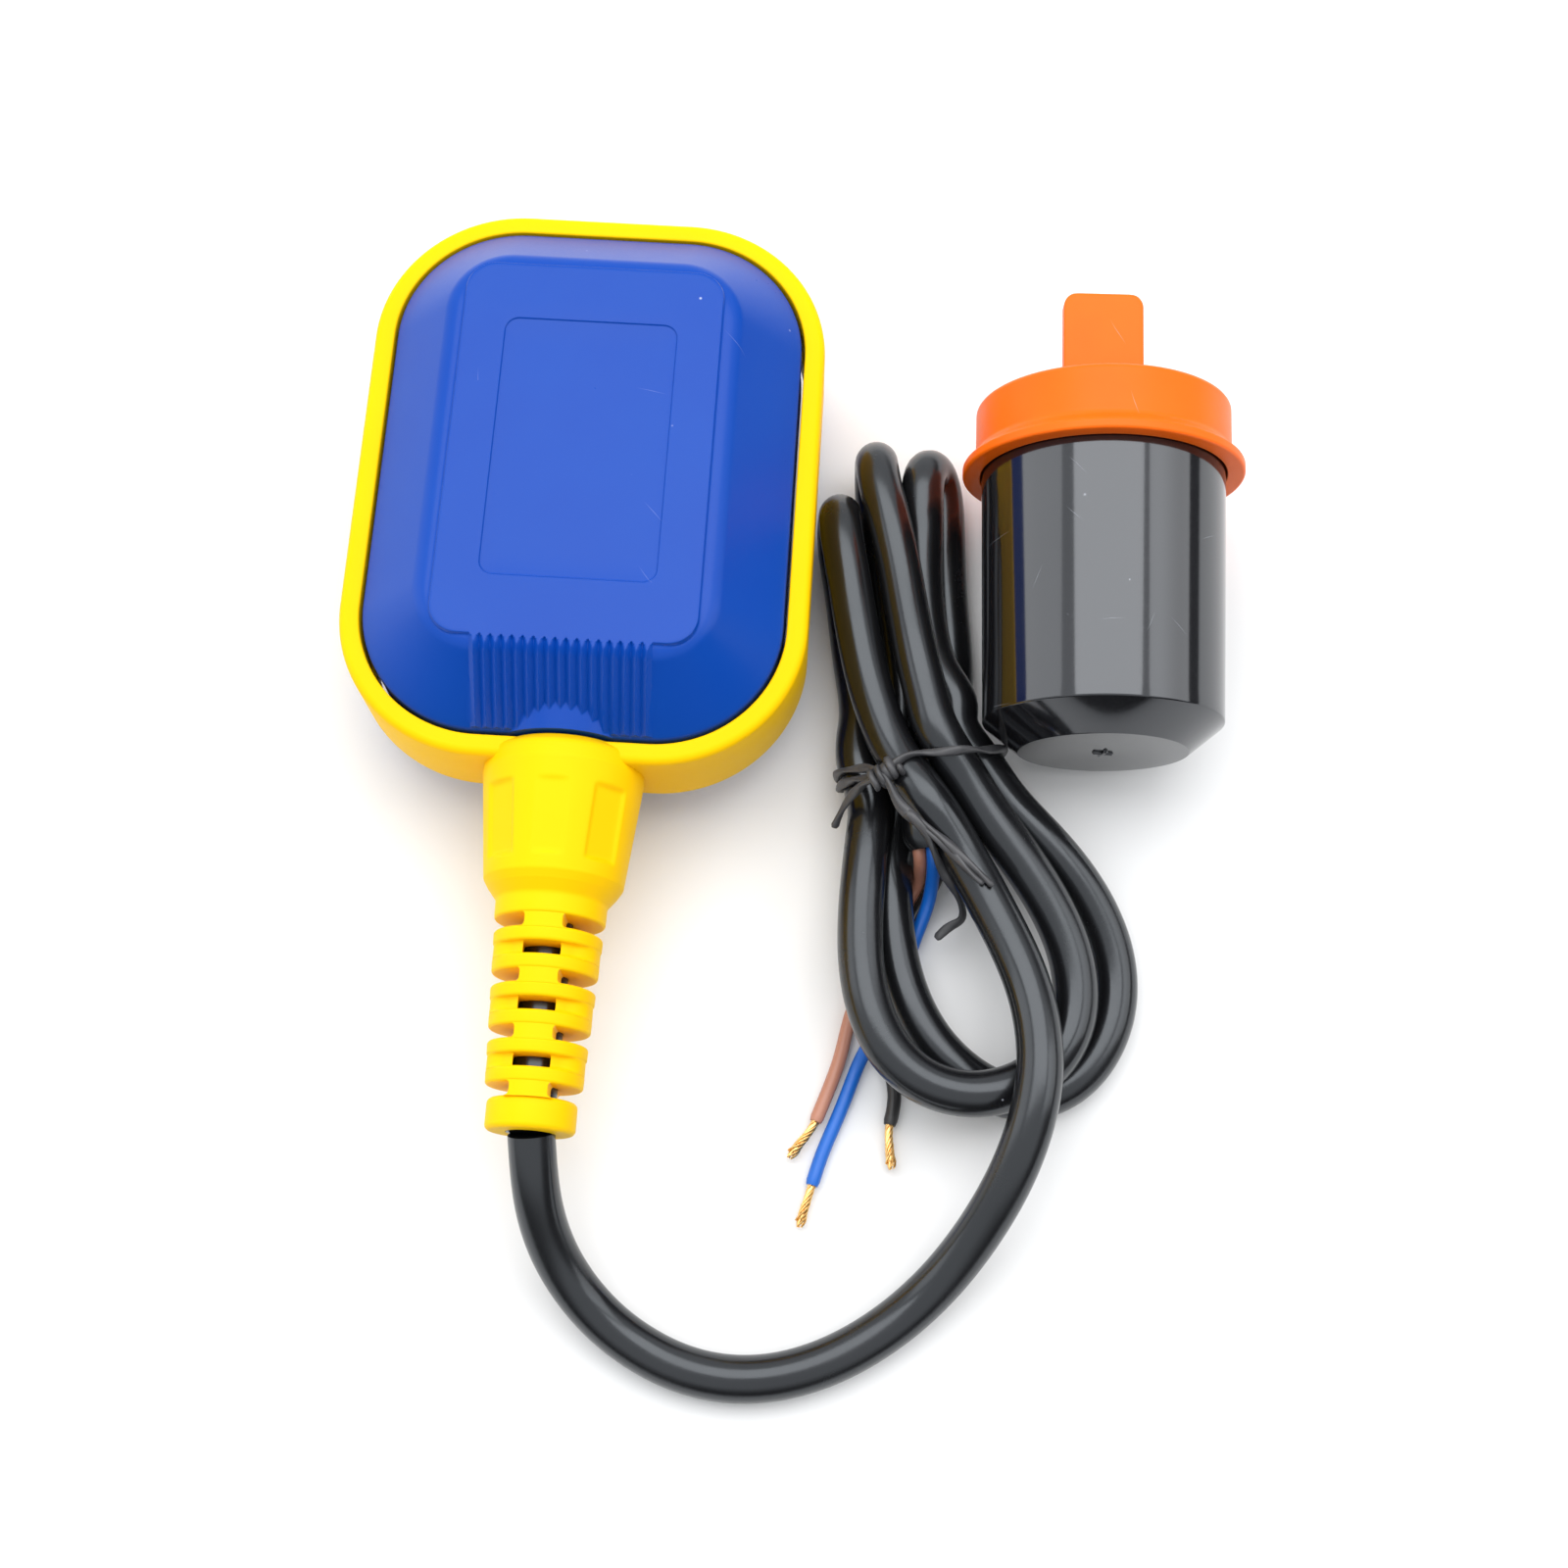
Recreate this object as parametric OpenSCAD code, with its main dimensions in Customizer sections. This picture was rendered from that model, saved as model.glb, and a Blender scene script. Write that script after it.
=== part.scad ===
// Cable float switch with its counterweight, millimetres.
// Origin: centre of the float's flat underside. +Y runs along the float, away from the cable. +Z is up.

/* [Float shells] */
// Width of the float across the frame ring
float_w = 80; // [74:1:92]
// Length of the float, without the gland
float_l = 102.5; // [98:0.5:120]
// Thickness of the float over both plateaus
float_t = 42; // [40:1:50]
// Outer corner radius of the frame ring
corner_r = 25.5; // [24:0.5:30]
// Wall of the shells
shell_wall = 2.2; // [1.8:0.1:2.8]
// Width of the sloping border between the lip and the plateau
dome_run = 13.2; // [12:0.2:15]
// Radius at the foot of the slope
shoulder_r = 1.2; // [0.8:0.1:1.6]
// Radius at the top of the slope
crown_r = 4.4; // [3.4:0.2:6]
// Height of the shell's lip above the ring's face
lip_h = 0.5; // [0.3:0.1:1.2]
// Gap between the ring and the shells
shell_gap = 0.35; // [0.2:0.05:0.6]
// Width of the flange that the ring holds
flange_w = 1.5; // [1:0.1:2]
// Height of each shell's flange
flange_h = 2.5; // [1.5:0.5:4]

/* [Plateau and grip] */
// Width of the raised plateau
plateau_w = 44.6; // [38:0.2:46]
// Length of the raised plateau
plateau_l = 68.8; // [60:0.2:72]
// Corner radius of the plateau
plateau_r = 5; // [3:0.5:7]
// Height of the plateau's step
plateau_step = 0.5; // [0.3:0.1:0.8]
// Width of the label recess
label_w = 29.5; // [24:0.5:34]
// Length of the label recess
label_l = 47.5; // [40:0.5:52]
// Depth of the label recess
label_depth = 0.3; // [0.1:0.1:0.5]
// Corner radius of the label recess
label_r = 2.4; // [1:0.2:4]
// Number of grip ribs
rib_count = 17; // [9:2:19]
// Distance from one grip rib to the next
rib_pitch = 1.78; // [1.4:0.02:1.8]
// Height of a grip rib
rib_h = 0.65; // [0.4:0.05:0.9]

/* [Frame ring and strain relief] */
// Width of the ring's face
ring_band = 3.8; // [3.4:0.2:5]
// Height of the ring
ring_h = 18; // [16:1:22]
// Chamfer of the ring's edges
ring_edge = 1.0; // [0.5:0.1:1.4]
// Largest radius of the gland
gland_r = 13.7; // [12.5:0.1:14.5]
// Radius of the gland at its far end
gland_end_r = 11.5; // [11:0.1:12]
// Length of the gland beyond the ring's outer side
gland_l = 20.2; // [18:0.2:24]
// Length of the neck between the gland and the first slot
neck_l = 6; // [5:0.5:8]
// Radius of the strain relief at the neck
relief_r = 9.3; // [8.8:0.1:10]
// Radius of the strain relief at its last slot
relief_end_r = 7.9; // [7.4:0.1:8.4]
// Radius of the end collar
collar_r = 7.4; // [7:0.1:7.8]
// Length of the end collar
collar_l = 5.2; // [4:0.2:7]
// Number of slots
slot_count = 7; // [5:2:9]
// Distance from one slot to the next
slot_pitch = 4.57; // [4.2:0.01:5.2]
// Width of a slot
slot_w = 2.1; // [1.6:0.1:2.6]
// Width of the front and back webs
web_w = 6.2; // [5:0.2:7]
// Width of the windows
window_w = 7.2; // [6:0.2:7.6]
// Depth of the groove at each window
groove_d = 1.1; // [0.6:0.1:1.6]

/* [Cable] */
// Diameter of the cable's jacket
cable_d = 7.8; // [7:0.1:8.2]
// Clearance round the jacket in the gland
cable_gap = 0.1; // [0.05:0.05:0.2]
// Diameter of a core's insulation
core_d = 2.4; // [2:0.1:2.6]
// Diameter of the bare copper strands of a core
strand_d = 1.3; // [1:0.1:1.5]
// Height of the tied hank
hank_h = 20; // [18:1:24]
// Diameter of the wire tie
tie_d = 2; // [1.6:0.1:2.4]
// Radius of the cable seal
seal_r = 6.8; // [6:0.1:7.2]
// Length of the cable seal
seal_l = 8; // [6:0.5:10]

/* [Capsule and ball] */
// Width of the capsule
capsule_w = 38; // [37:0.5:40]
// Wall of the capsule
capsule_wall = 2; // [1.8:0.1:2.4]
// Height of the capsule with its lid
capsule_h = 30; // [30:0.5:32]
// Thickness of the capsule's lid
lid_t = 2; // [1.6:0.1:2.2]
// Radius of the steel ball
ball_r = 8; // [7.6:0.1:8]
// Distance that the ball rolls
ball_travel = 16; // [14:0.5:16]
// Clearance round the ball
ball_gap = 0.05; // [0.03:0.01:0.1]
// Distance from the lever's pin to the ball when the lever is up
ball_near = 11; // [10.6:0.1:12]

/* [Lever] */
// Radius of the lever's pin
pin_r = 1; // [0.8:0.05:1.2]
// Running clearance of the lever on its pin
pin_gap = 0.05; // [0.03:0.01:0.08]
// Wall of the lever's hub
hub_wall = 1.5; // [1.2:0.1:1.6]
// Thickness of the lever's arms
arm_t = 2; // [1.5:0.1:2.2]
// Width of the long arm
arm_w = 8; // [6:0.5:10]
// How far the long arm dips below the ball's top
arm_dip = 1.6; // [1.2:0.1:1.8]
// Distance from the pin to the nose that works the plunger
nose_arm = 11.8; // [11.5:0.1:12.2]
// Radius of the nose
nose_r = 1.2; // [1:0.1:1.4]

/* [Microswitch] */
// Length of the microswitch case
switch_l = 27.8; // [27:0.2:28]
// Thickness of the microswitch with its cover
switch_t = 10.3; // [10:0.1:10.6]
// Height of the microswitch case
switch_h = 15.9; // [15.5:0.1:16.2]
// Wall of the microswitch case
switch_wall = 1.5; // [1.2:0.1:1.7]
// Distance between the mounting holes along the case
switch_hole_x = 22.2; // [21.8:0.1:22.4]
// Distance between the mounting holes up the case
switch_hole_z = 10.3; // [10:0.1:10.5]
// Radius of the small screws
screw_r = 1.5; // [1.3:0.1:1.5]
// Radius of the small screws' heads
screw_head_r = 2.7; // [2.4:0.1:2.8]
// Radius of the plunger
plunger_r = 1.5; // [1.2:0.1:1.6]
// Thickness of a terminal strip
strip_t = 0.8; // [0.6:0.1:0.9]
// Width of a terminal strip
strip_w = 4; // [3.4:0.2:4.4]

/* [Counterweight] */
// Radius of the weight's case at its mouth
weight_r = 21.4; // [20:0.2:22]
// Radius of the weight's case at its closed end
weight_end_r = 20.6; // [19.8:0.2:21]
// Length of the weight's case
weight_l = 59.5; // [56:0.5:70]
// Length of the chamfer at the closed end
chamfer_l = 5; // [3:0.5:6]
// Radius of the flat end face
end_face_r = 14.6; // [12:0.2:16]
// Wall of the weight's case
weight_wall = 2.4; // [2:0.2:3]
// Length of the ballast slug
slug_l = 25; // [20:1:35]
// Wall of the cap's collar round the case
cap_wall = 0.8; // [0.6:0.1:1.4]
// How far the cap's flange stands out beyond its collar
flange_out = 2.3; // [1.6:0.1:3.6]
// Thickness of the cap's flange
flange_t = 3; // [2:0.2:4]
// Length of the cap
cap_l = 12.6; // [11:0.2:16]
// Thickness of the cap's end
cap_end = 2.4; // [2:0.2:3]
// Width of the cap's tab
tab_w = 14.2; // [12:0.2:16]
// Length of the cap's tab
tab_l = 22; // [18:1:30]
// Thickness of the cap's tab
tab_t = 3.2; // [2.5:0.1:4]

/* [Hidden] */
$fn = 64;
eps = 0.01;
mid_z = float_t / 2;
shell_w = float_w - 2 * ring_band - 2 * shell_gap;
shell_l = float_l - 2 * ring_band - 2 * shell_gap;
shell_r = corner_r - ring_band - shell_gap;
lip_z = ring_h / 2 + lip_h;
crown_z = float_t / 2 - plateau_step;
cable_r = cable_d / 2;
bore_r = cable_r + cable_gap;

// Heights and places of the capsule, the ball, the lever and the microswitch
capsule_z = (float_t - capsule_h) / 2;
floor_z = capsule_z + capsule_wall;
bed_z = floor_z + 3.2;
fit_gap = 0.05;
hub_r = pin_r + pin_gap + hub_wall;
underside = hub_r - 0.95;
reach = ball_r + underside + 0.1;
pin_over_ball = reach - arm_dip;
pin_z = bed_z + ball_gap + ball_r + pin_over_ball;
pin_y = -2;
ball_far = ball_near + ball_travel;
lever_rest = asin(reach / norm([pin_over_ball, ball_far])) - atan2(pin_over_ball, ball_far);
lever_up = asin(reach / norm([pin_over_ball, ball_near])) - atan2(pin_over_ball, ball_near);
lever_swing = lever_up - lever_rest;
switch_y = pin_y - nose_arm - switch_t / 2;
capsule_front = pin_y + ball_far + ball_r + 0.15 + capsule_wall;
capsule_back = switch_y - 8 - capsule_wall;
capsule_l = capsule_front - capsule_back;
capsule_y = (capsule_front + capsule_back) / 2;
bracket_t = 2.4;
bracket_w = switch_l;
cheek_t = 3;
cheek_x = 10.4;
rail_t = 1.6;
lid_boss_r = 2.6;
lid_boss_x = capsule_w / 2 - capsule_wall - lid_boss_r + 0.3;
lid_boss_ys = [capsule_back + capsule_wall + lid_boss_r - 0.3,
    capsule_front - capsule_wall - lid_boss_r + 0.3];
lid_screw_r = 1.2;
lid_screw_l = 9;
strip_xs = [-7, 4.6, 11.3];
core_hole_r = core_d / 2 + 0.15;
core_z = bed_z - 1.35;
core_xs = [for (x = strip_xs) x - strip_t / 2 - core_d / 2];

// A rectangle w by l with corners of radius r, made of true arcs.
module rounded_rect(w, l, r) {
    square([w - 2 * r, l], center = true);
    square([w, l - 2 * r], center = true);
    for (x = [-1, 1], y = [-1, 1])
        translate([x * (w / 2 - r), y * (l / 2 - r)]) circle(r);
}

module rounded_box(w, l, r, h) {
    linear_extrude(height = h) rounded_rect(w, l, r);
}

// Carries a profile round a rounded rectangle. The profile's x is 0 on the outline and negative inside.
module carry_round(w, l, r) {
    for (x = [0, 1], y = [0, 1])
        mirror([x, 0, 0]) mirror([0, y, 0]) translate([w / 2 - r, l / 2 - r, 0])
            rotate_extrude(angle = 90) translate([r, 0]) children();
    for (x = [0, 1]) {
        mirror([x, 0, 0]) translate([w / 2, l / 2 - r, 0]) rotate([90, 0, 0])
            linear_extrude(height = l - 2 * r) children();
        mirror([0, x, 0]) translate([-(w / 2 - r), l / 2, 0]) rotate([90, 0, 90])
            linear_extrude(height = w - 2 * r) children();
    }
}

// The dome's outline from the lip to the crown, moved inwards by inset: two arcs and their common tangent.
foot = [-shoulder_r, lip_z];
top = [-dome_run, crown_z - crown_r];
span = top - foot;
slope_normal = atan2(span[1], span[0]) - acos((shoulder_r - crown_r) / norm(span));
function arc(c, r, a0, a1, n) =
    [for (i = [0:n]) c + r * [cos(a0 + (a1 - a0) * i / n), sin(a0 + (a1 - a0) * i / n)]];
function dome_outline(inset) = concat(
    inset < shoulder_r ? arc(foot, shoulder_r - inset, 0, slope_normal, 4)
        : [[-inset, lip_z + (shoulder_r - inset) * (1 - cos(slope_normal)) / sin(slope_normal)]],
    arc(top, crown_r - inset, slope_normal, 90, 4));

// One half of the float's closed form above the middle plane, moved inwards by inset.
module dome_form(inset, depth = 0) {
    inner = dome_run + 1;
    carry_round(shell_w, shell_l, shell_r)
        polygon(concat([[-inner, -depth], [-inset, -depth]], dome_outline(inset),
            [[-inner, crown_z - inset]]));
    translate([0, 0, -depth])
        rounded_box(shell_w - 2 * dome_run, shell_l - 2 * dome_run, shell_r - dome_run,
            crown_z - inset + depth);
}

// Turns a solid made with z along the length so that its z runs from y0 along -Y at the cable's height.
module along_cable(y0) {
    translate([0, y0, mid_z]) rotate([90, 0, 0]) children();
}

// Parallel V ridges that run down the slope over the gland.
rib_zone_w = rib_count * rib_pitch;
module rib_pad() {
    n = slope_normal;
    contact = foot + shoulder_r * [cos(n), sin(n)];
    teeth = [for (i = [0:rib_count - 1]) each [[(i - rib_count / 2) * rib_pitch, 0],
        [(i - rib_count / 2 + 0.5) * rib_pitch, rib_h]]];
    intersection() {
        translate([0, -shell_l / 2 - contact[0], contact[1]]) rotate([180 - n, 0, 0])
            translate([0, 0, -dome_run]) linear_extrude(height = 2 * dome_run) mirror([0, 1])
                polygon(concat([[-rib_zone_w / 2, -shell_wall / 2]], teeth,
                    [[rib_zone_w / 2, 0], [rib_zone_w / 2, -shell_wall / 2]]));
        translate([-rib_zone_w, -shell_l / 2, lip_z - shell_wall])
            cube([2 * rib_zone_w, dome_run + 1, float_t / 2 - lip_z + shell_wall]);
    }
}

hood_r = gland_r - 1.3;
hood_back_r = hood_r + 3.1;
module shell_half() {
    difference() {
        union() {
            dome_form(0);
            carry_round(shell_w, shell_l, shell_r) translate([-1, 0]) square([1 + flange_w, flange_h]);
            translate([0, 0, crown_z - shell_wall / 2])
                rounded_box(plateau_w, plateau_l, plateau_r, plateau_step + shell_wall / 2);
            rib_pad();
            intersection() {
                translate([0, -shell_l / 2, 0]) rotate([-90, 0, 0])
                    cylinder(r1 = hood_r, r2 = hood_back_r, h = dome_run);
                translate([-hood_back_r, -shell_l / 2, 0]) cube([2 * hood_back_r, dome_run, hood_back_r]);
            }
        }
        dome_form(shell_wall, 1);
        translate([0, -shell_l / 2 - 2, 0]) rotate([-90, 0, 0]) cylinder(r = bore_r, h = dome_run + 4);
    }
}

post_x = capsule_w / 2 - 5;
post_ys = [capsule_back + 5, capsule_front - 5];
post_r = 3;
seat_gap = 0.3;

module upper_shell() {
    color("royalblue") translate([0, 0, mid_z]) {
        difference() {
            shell_half();
            translate([0, 0, float_t / 2 - label_depth]) rounded_box(label_w, label_l, label_r, 1);
        }
        for (x = [-post_x, post_x], y = post_ys)
            translate([x, y, capsule_z + capsule_h + seat_gap - mid_z])
                cylinder(r = post_r,
                    h = crown_z - shell_wall / 2 - (capsule_z + capsule_h + seat_gap - mid_z));
    }
}

// The saddle under the cable stands on the lower shell.
saddle_y = -shell_l / 2 + 3.2;
saddle_l = 5;
saddle_w = 24;
clamp_screw_x = saddle_w / 2 - 3.5;
clamp_h = 6.5;
clamp_slit = 0.3;
clamp_screw_l = 8;
clamp_head_r = 2.3;
clamp_head_h = 1.6;
module lower_shell() {
    color("royalblue") translate([0, 0, mid_z]) mirror([0, 0, 1]) {
        shell_half();
        difference() {
            intersection() {
                translate([-saddle_w / 2, saddle_y, clamp_slit]) cube([saddle_w, saddle_l, float_t]);
                dome_form(shell_wall / 2);
            }
            translate([0, saddle_y - 1, 0]) rotate([-90, 0, 0]) cylinder(r = bore_r, h = saddle_l + 2);
            for (x = [-clamp_screw_x, clamp_screw_x])
                translate([x, saddle_y + saddle_l / 2, 0]) cylinder(r = screw_r + 0.05, h = clamp_screw_l);
        }
        for (x = [-post_x, post_x], y = post_ys)
            translate([x, y, mid_z - capsule_z])
                cylinder(r = post_r, h = capsule_z - shell_wall / 2 - plateau_step);
    }
}

// Ring, gland and strain relief are one moulding.
ring_in = -shell_l / 2 - shell_gap;
ring_out = -float_l / 2;
gland_end = ring_out - gland_l;
relief_start = gland_end - neck_l + slot_w;
first_slot = gland_end - neck_l - slot_w / 2;
relief_end = first_slot - (slot_count - 1) * slot_pitch - slot_w / 2;
cord_exit = relief_end - collar_l;
groove_gap = 0.2;
seal_start = ring_in + shell_gap - flange_w - cable_gap;
module ring_profile() {
    h = ring_h / 2;
    c = ring_edge;
    polygon([[-ring_band, -h + c / 2], [-ring_band + c / 2, -h], [-c, -h], [-c * 0.3, -h + c * 0.3],
        [0, -h + c], [0, h - c], [-c * 0.3, h - c * 0.3], [-c, h], [-ring_band + c / 2, h],
        [-ring_band, h - c / 2]]);
}
// The groove that holds both shells' flanges, measured from the ring's outer side.
module groove_profile() {
    depth = flange_w - shell_gap + groove_gap;
    translate([-ring_band - 1, -flange_h - groove_gap]) square([1 + depth, 2 * (flange_h + groove_gap)]);
}
function relief_radius(y) =
    relief_r + (relief_end_r - relief_r) * (relief_start - y) / (relief_start - relief_end);
module side_slot(y) {
    for (x = [-1, 1])
        translate([x > 0 ? web_w / 2 : -web_w / 2 - gland_r, y - slot_w / 2, -gland_r])
            cube([gland_r, slot_w, 2 * gland_r]);
}
module window_slot(y) {
    r = relief_radius(y);
    rotate([90, 0, 0]) translate([0, 0, -y - slot_w / 2]) difference() {
        cylinder(r = gland_r, h = slot_w);
        translate([0, 0, -1]) cylinder(r = r - groove_d, h = slot_w + 2);
    }
    translate([-window_w / 2, y - slot_w / 2, -gland_r]) cube([window_w, slot_w, 2 * gland_r]);
}
panel_w = 6;
panel_l = 13;
panel_d = 0.4;
module ring_and_strain_relief() {
    shoulder = gland_r - 2.2;
    len1 = ring_in - gland_end;
    color("yellow") translate([0, 0, mid_z]) difference() {
        union() {
            carry_round(float_w, float_l, corner_r) ring_profile();
            translate([0, ring_in, 0]) rotate([90, 0, 0]) rotate_extrude()
                polygon([[0, 0], [shoulder, 0], [gland_r - 0.9, 1.4], [gland_r - 0.25, 2.9], [gland_r, 4.4],
                    [gland_end_r, len1], [gland_end_r - 0.7, len1 + 1.2], [relief_r, len1 + 2.8],
                    [relief_r, ring_in - relief_start], [relief_end_r, ring_in - relief_end],
                    [collar_r - 0.4, ring_in - relief_end], [collar_r, ring_in - relief_end + 0.6],
                    [collar_r, ring_in - cord_exit - 0.9], [collar_r - 0.9, ring_in - cord_exit],
                    [0, ring_in - cord_exit]]);
        }
        carry_round(float_w, float_l, corner_r) groove_profile();
        translate([0, ring_in + 3, 0]) rotate([90, 0, 0]) cylinder(r = bore_r, h = ring_in - cord_exit + 6);
        translate([0, ring_in + 3, 0]) rotate([90, 0, 0])
            cylinder(r = seal_r + cable_gap, h = ring_in + 3 - seal_start + seal_l + cable_gap);
        for (i = [0:slot_count - 1])
            if (i % 2 == 0) side_slot(first_slot - i * slot_pitch);
            else window_slot(first_slot - i * slot_pitch);
        for (a = [0, 45, 135, 180, 225, 315]) rotate([0, a, 0])
            translate([-panel_w / 2, gland_end + 2.5, gland_r - 1.1 - panel_d])
                cube([panel_w, panel_l, gland_r]);
    }
}

module capsule_base() {
    base_h = capsule_h - lid_t;
    color("whitesmoke") difference() {
        union() {
            difference() {
                translate([0, capsule_y, capsule_z]) rounded_box(capsule_w, capsule_l, 3, base_h);
                translate([0, capsule_y, floor_z])
                    rounded_box(capsule_w - 2 * capsule_wall, capsule_l - 2 * capsule_wall, 1, capsule_h);
            }
            for (x = [-lid_boss_x, lid_boss_x], y = lid_boss_ys)
                translate([x, y, capsule_z]) cylinder(r = lid_boss_r, h = base_h);
            // Bed under the ball, with a rail on each side
            translate([-ball_r - ball_gap - rail_t, pin_y + ball_near - ball_r, floor_z - eps])
                cube([2 * (ball_r + ball_gap + rail_t),
                    capsule_front - capsule_wall - pin_y - ball_near + ball_r + eps,
                    bed_z - floor_z + eps]);
            for (x = [-ball_r - ball_gap - rail_t, ball_r + ball_gap])
                translate([x, pin_y + ball_near - ball_r, floor_z - eps])
                    cube([rail_t, capsule_front - capsule_wall - pin_y - ball_near + ball_r + eps,
                        bed_z + ball_r - floor_z]);
            // Seat and bracket of the microswitch
            translate([-switch_l / 2, switch_y + switch_t - 3.5, floor_z - eps])
                cube([switch_l, 3.5, bed_z - floor_z + eps]);
            translate([-bracket_w / 2, switch_y + switch_t, floor_z - eps])
                cube([bracket_w, bracket_t, switch_top - floor_z]);
            // Cheeks that carry the lever's pin
            for (x = [-1, 1])
                translate([x > 0 ? cheek_x : -cheek_x - cheek_t, switch_y + switch_t + eps, floor_z - eps])
                    cube([cheek_t, pin_y + hub_r - switch_y - switch_t, pin_z + hub_r - floor_z]);
        }
        translate([-capsule_w, pin_y, pin_z]) rotate([0, 90, 0])
            cylinder(r = pin_r + fit_gap / 2, h = 2 * capsule_w);
        for (x = [-lid_boss_x, lid_boss_x], y = lid_boss_ys)
            translate([x, y, capsule_z + base_h - lid_screw_l])
                cylinder(r = lid_screw_r + fit_gap, h = lid_screw_l + 1);
        for (x = core_xs)
            translate([x, capsule_back + capsule_wall + 1, core_z]) rotate([90, 0, 0])
                cylinder(r = core_hole_r, h = capsule_wall + 2);
        for (s = [-1, 1])
            translate([s * switch_hole_x / 2, switch_y + switch_t + bracket_t + 1,
                switch_mid + s * switch_hole_z / 2])
                rotate([90, 0, 0]) cylinder(r = screw_r + fit_gap, h = bracket_t + 2);
    }
}

module capsule_lid() {
    rim = 1.5;
    play = 0.15;
    color("white") translate([0, capsule_y, capsule_z + capsule_h - lid_t]) difference() {
        union() {
            rounded_box(capsule_w, capsule_l, 3, lid_t);
            translate([0, 0, -1.2]) difference() {
                rounded_box(capsule_w - 2 * (capsule_wall + play), capsule_l - 2 * (capsule_wall + play),
                    1, 1.2 + eps);
                translate([0, 0, -1]) rounded_box(capsule_w - 2 * (capsule_wall + play + rim),
                    capsule_l - 2 * (capsule_wall + play + rim), 1, 4);
            }
        }
        for (x = [-lid_boss_x, lid_boss_x], y = lid_boss_ys) translate([x, y - capsule_y, -5]) {
            cylinder(r = lid_screw_r + 0.2, h = 20);
            cylinder(r = lid_boss_r + 0.3, h = 5);
            translate([0, 0, 5 + lid_t - 1]) cylinder(r = 2.3, h = 5);
        }
    }
}

module lid_screws() {
    color("silver") for (x = [-lid_boss_x, lid_boss_x], y = lid_boss_ys)
        translate([x, y, capsule_z + capsule_h - 1]) {
            difference() {
                cylinder(r = 2.2, h = 0.9);
                translate([-1.6, -0.25, 0.5]) cube([3.2, 0.5, 1]);
            }
            translate([0, 0, -lid_screw_l + lid_t])
                cylinder(r = lid_screw_r, h = lid_screw_l - lid_t + eps);
        }
}

module steel_ball() {
    color("silver") translate([0, pin_y + ball_far, bed_z + ball_gap + ball_r]) sphere(r = ball_r);
}

// Rocker: the ball lifts the long arm, and the nose on the short arm pushes the plunger down.
nose_over_pin = 2.3;
module lever() {
    hub_l = 2 * (cheek_x - 0.2);
    arm_l = ball_far + 2;
    color("orange") translate([0, pin_y, pin_z]) difference() {
        union() {
            translate([-hub_l / 2, 0, 0]) rotate([0, 90, 0]) cylinder(r = hub_r, h = hub_l);
            rotate([lever_rest, 0, 0]) translate([-arm_w / 2, 0, -underside]) cube([arm_w, arm_l, arm_t]);
            translate([-arm_w, -nose_arm - nose_r, nose_over_pin - 0.3])
                cube([2 * arm_w, nose_arm + nose_r, arm_t]);
            translate([-arm_w, -nose_arm, nose_over_pin]) rotate([0, 90, 0])
                cylinder(r = nose_r, h = 2 * arm_w);
        }
        translate([-hub_l, 0, 0]) rotate([0, 90, 0]) cylinder(r = pin_r + pin_gap, h = 2 * hub_l);
    }
}

module lever_pin() {
    pin_l = 2 * (cheek_x + cheek_t);
    color("silver") translate([-pin_l / 2, pin_y, pin_z]) rotate([0, 90, 0]) cylinder(r = pin_r, h = pin_l);
}

// Microswitch, standing with its plunger up
switch_bottom = bed_z;
switch_top = switch_bottom + switch_h;
switch_mid = switch_bottom + switch_h / 2;
cover_t = 1.5;
plunger_x = 3;
nose_low = pin_z + nose_over_pin - nose_r;
nose_drop = nose_arm * sin(lever_swing) + nose_over_pin * (1 - cos(lever_swing));
plunger_top = nose_low - fit_gap;
blade_z = switch_bottom + 7;
blade_t = 0.4;
blade_x = strip_xs[0] - strip_t / 2;
blade_tip = 9.4;
contact_x = 7.8;
contact_r = 1.2;
contact_t = 0.5;
pivot_r = 0.4;
blade_swing = asin(nose_drop / (plunger_x - blade_x));
contact_drop = (contact_x - blade_x) * sin(blade_swing);
module switch_case() {
    depth = switch_t - cover_t;
    color("dimgray") translate([0, switch_y + cover_t, 0]) difference() {
        translate([-switch_l / 2, 0, switch_bottom]) cube([switch_l, depth, switch_h]);
        difference() {
            translate([-switch_l / 2 + switch_wall, -1, switch_bottom + switch_wall])
                cube([switch_l - 2 * switch_wall, depth - switch_wall + 1, switch_h - 2 * switch_wall]);
            for (s = [-1, 1])
                translate([s * switch_hole_x / 2, depth + 1, switch_mid + s * switch_hole_z / 2])
                    rotate([90, 0, 0]) cylinder(r = screw_r + 1.1, h = depth + 3);
        }
        for (s = [-1, 1])
            translate([s * switch_hole_x / 2, depth + 1, switch_mid + s * switch_hole_z / 2])
                rotate([90, 0, 0]) cylinder(r = screw_r + fit_gap, h = depth + 3);
        translate([plunger_x, (switch_t - cover_t) / 2, switch_top - switch_wall - 1])
            cylinder(r = plunger_r + fit_gap, h = switch_wall + 2);
        for (x = strip_xs)
            translate([x - strip_t / 2 - 0.1, -1, switch_bottom - 1])
                cube([strip_t + 0.2, strip_w + 1.4 + 1, switch_wall + 2]);
    }
}

module switch_cover() {
    color("gray") translate([0, switch_y, 0]) difference() {
        translate([-switch_l / 2, 0, switch_bottom]) cube([switch_l, cover_t - 0.02, switch_h]);
        for (s = [-1, 1])
            translate([s * switch_hole_x / 2, cover_t + 1, switch_mid + s * switch_hole_z / 2])
                rotate([90, 0, 0]) cylinder(r = screw_r + fit_gap, h = cover_t + 2);
    }
}

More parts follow.
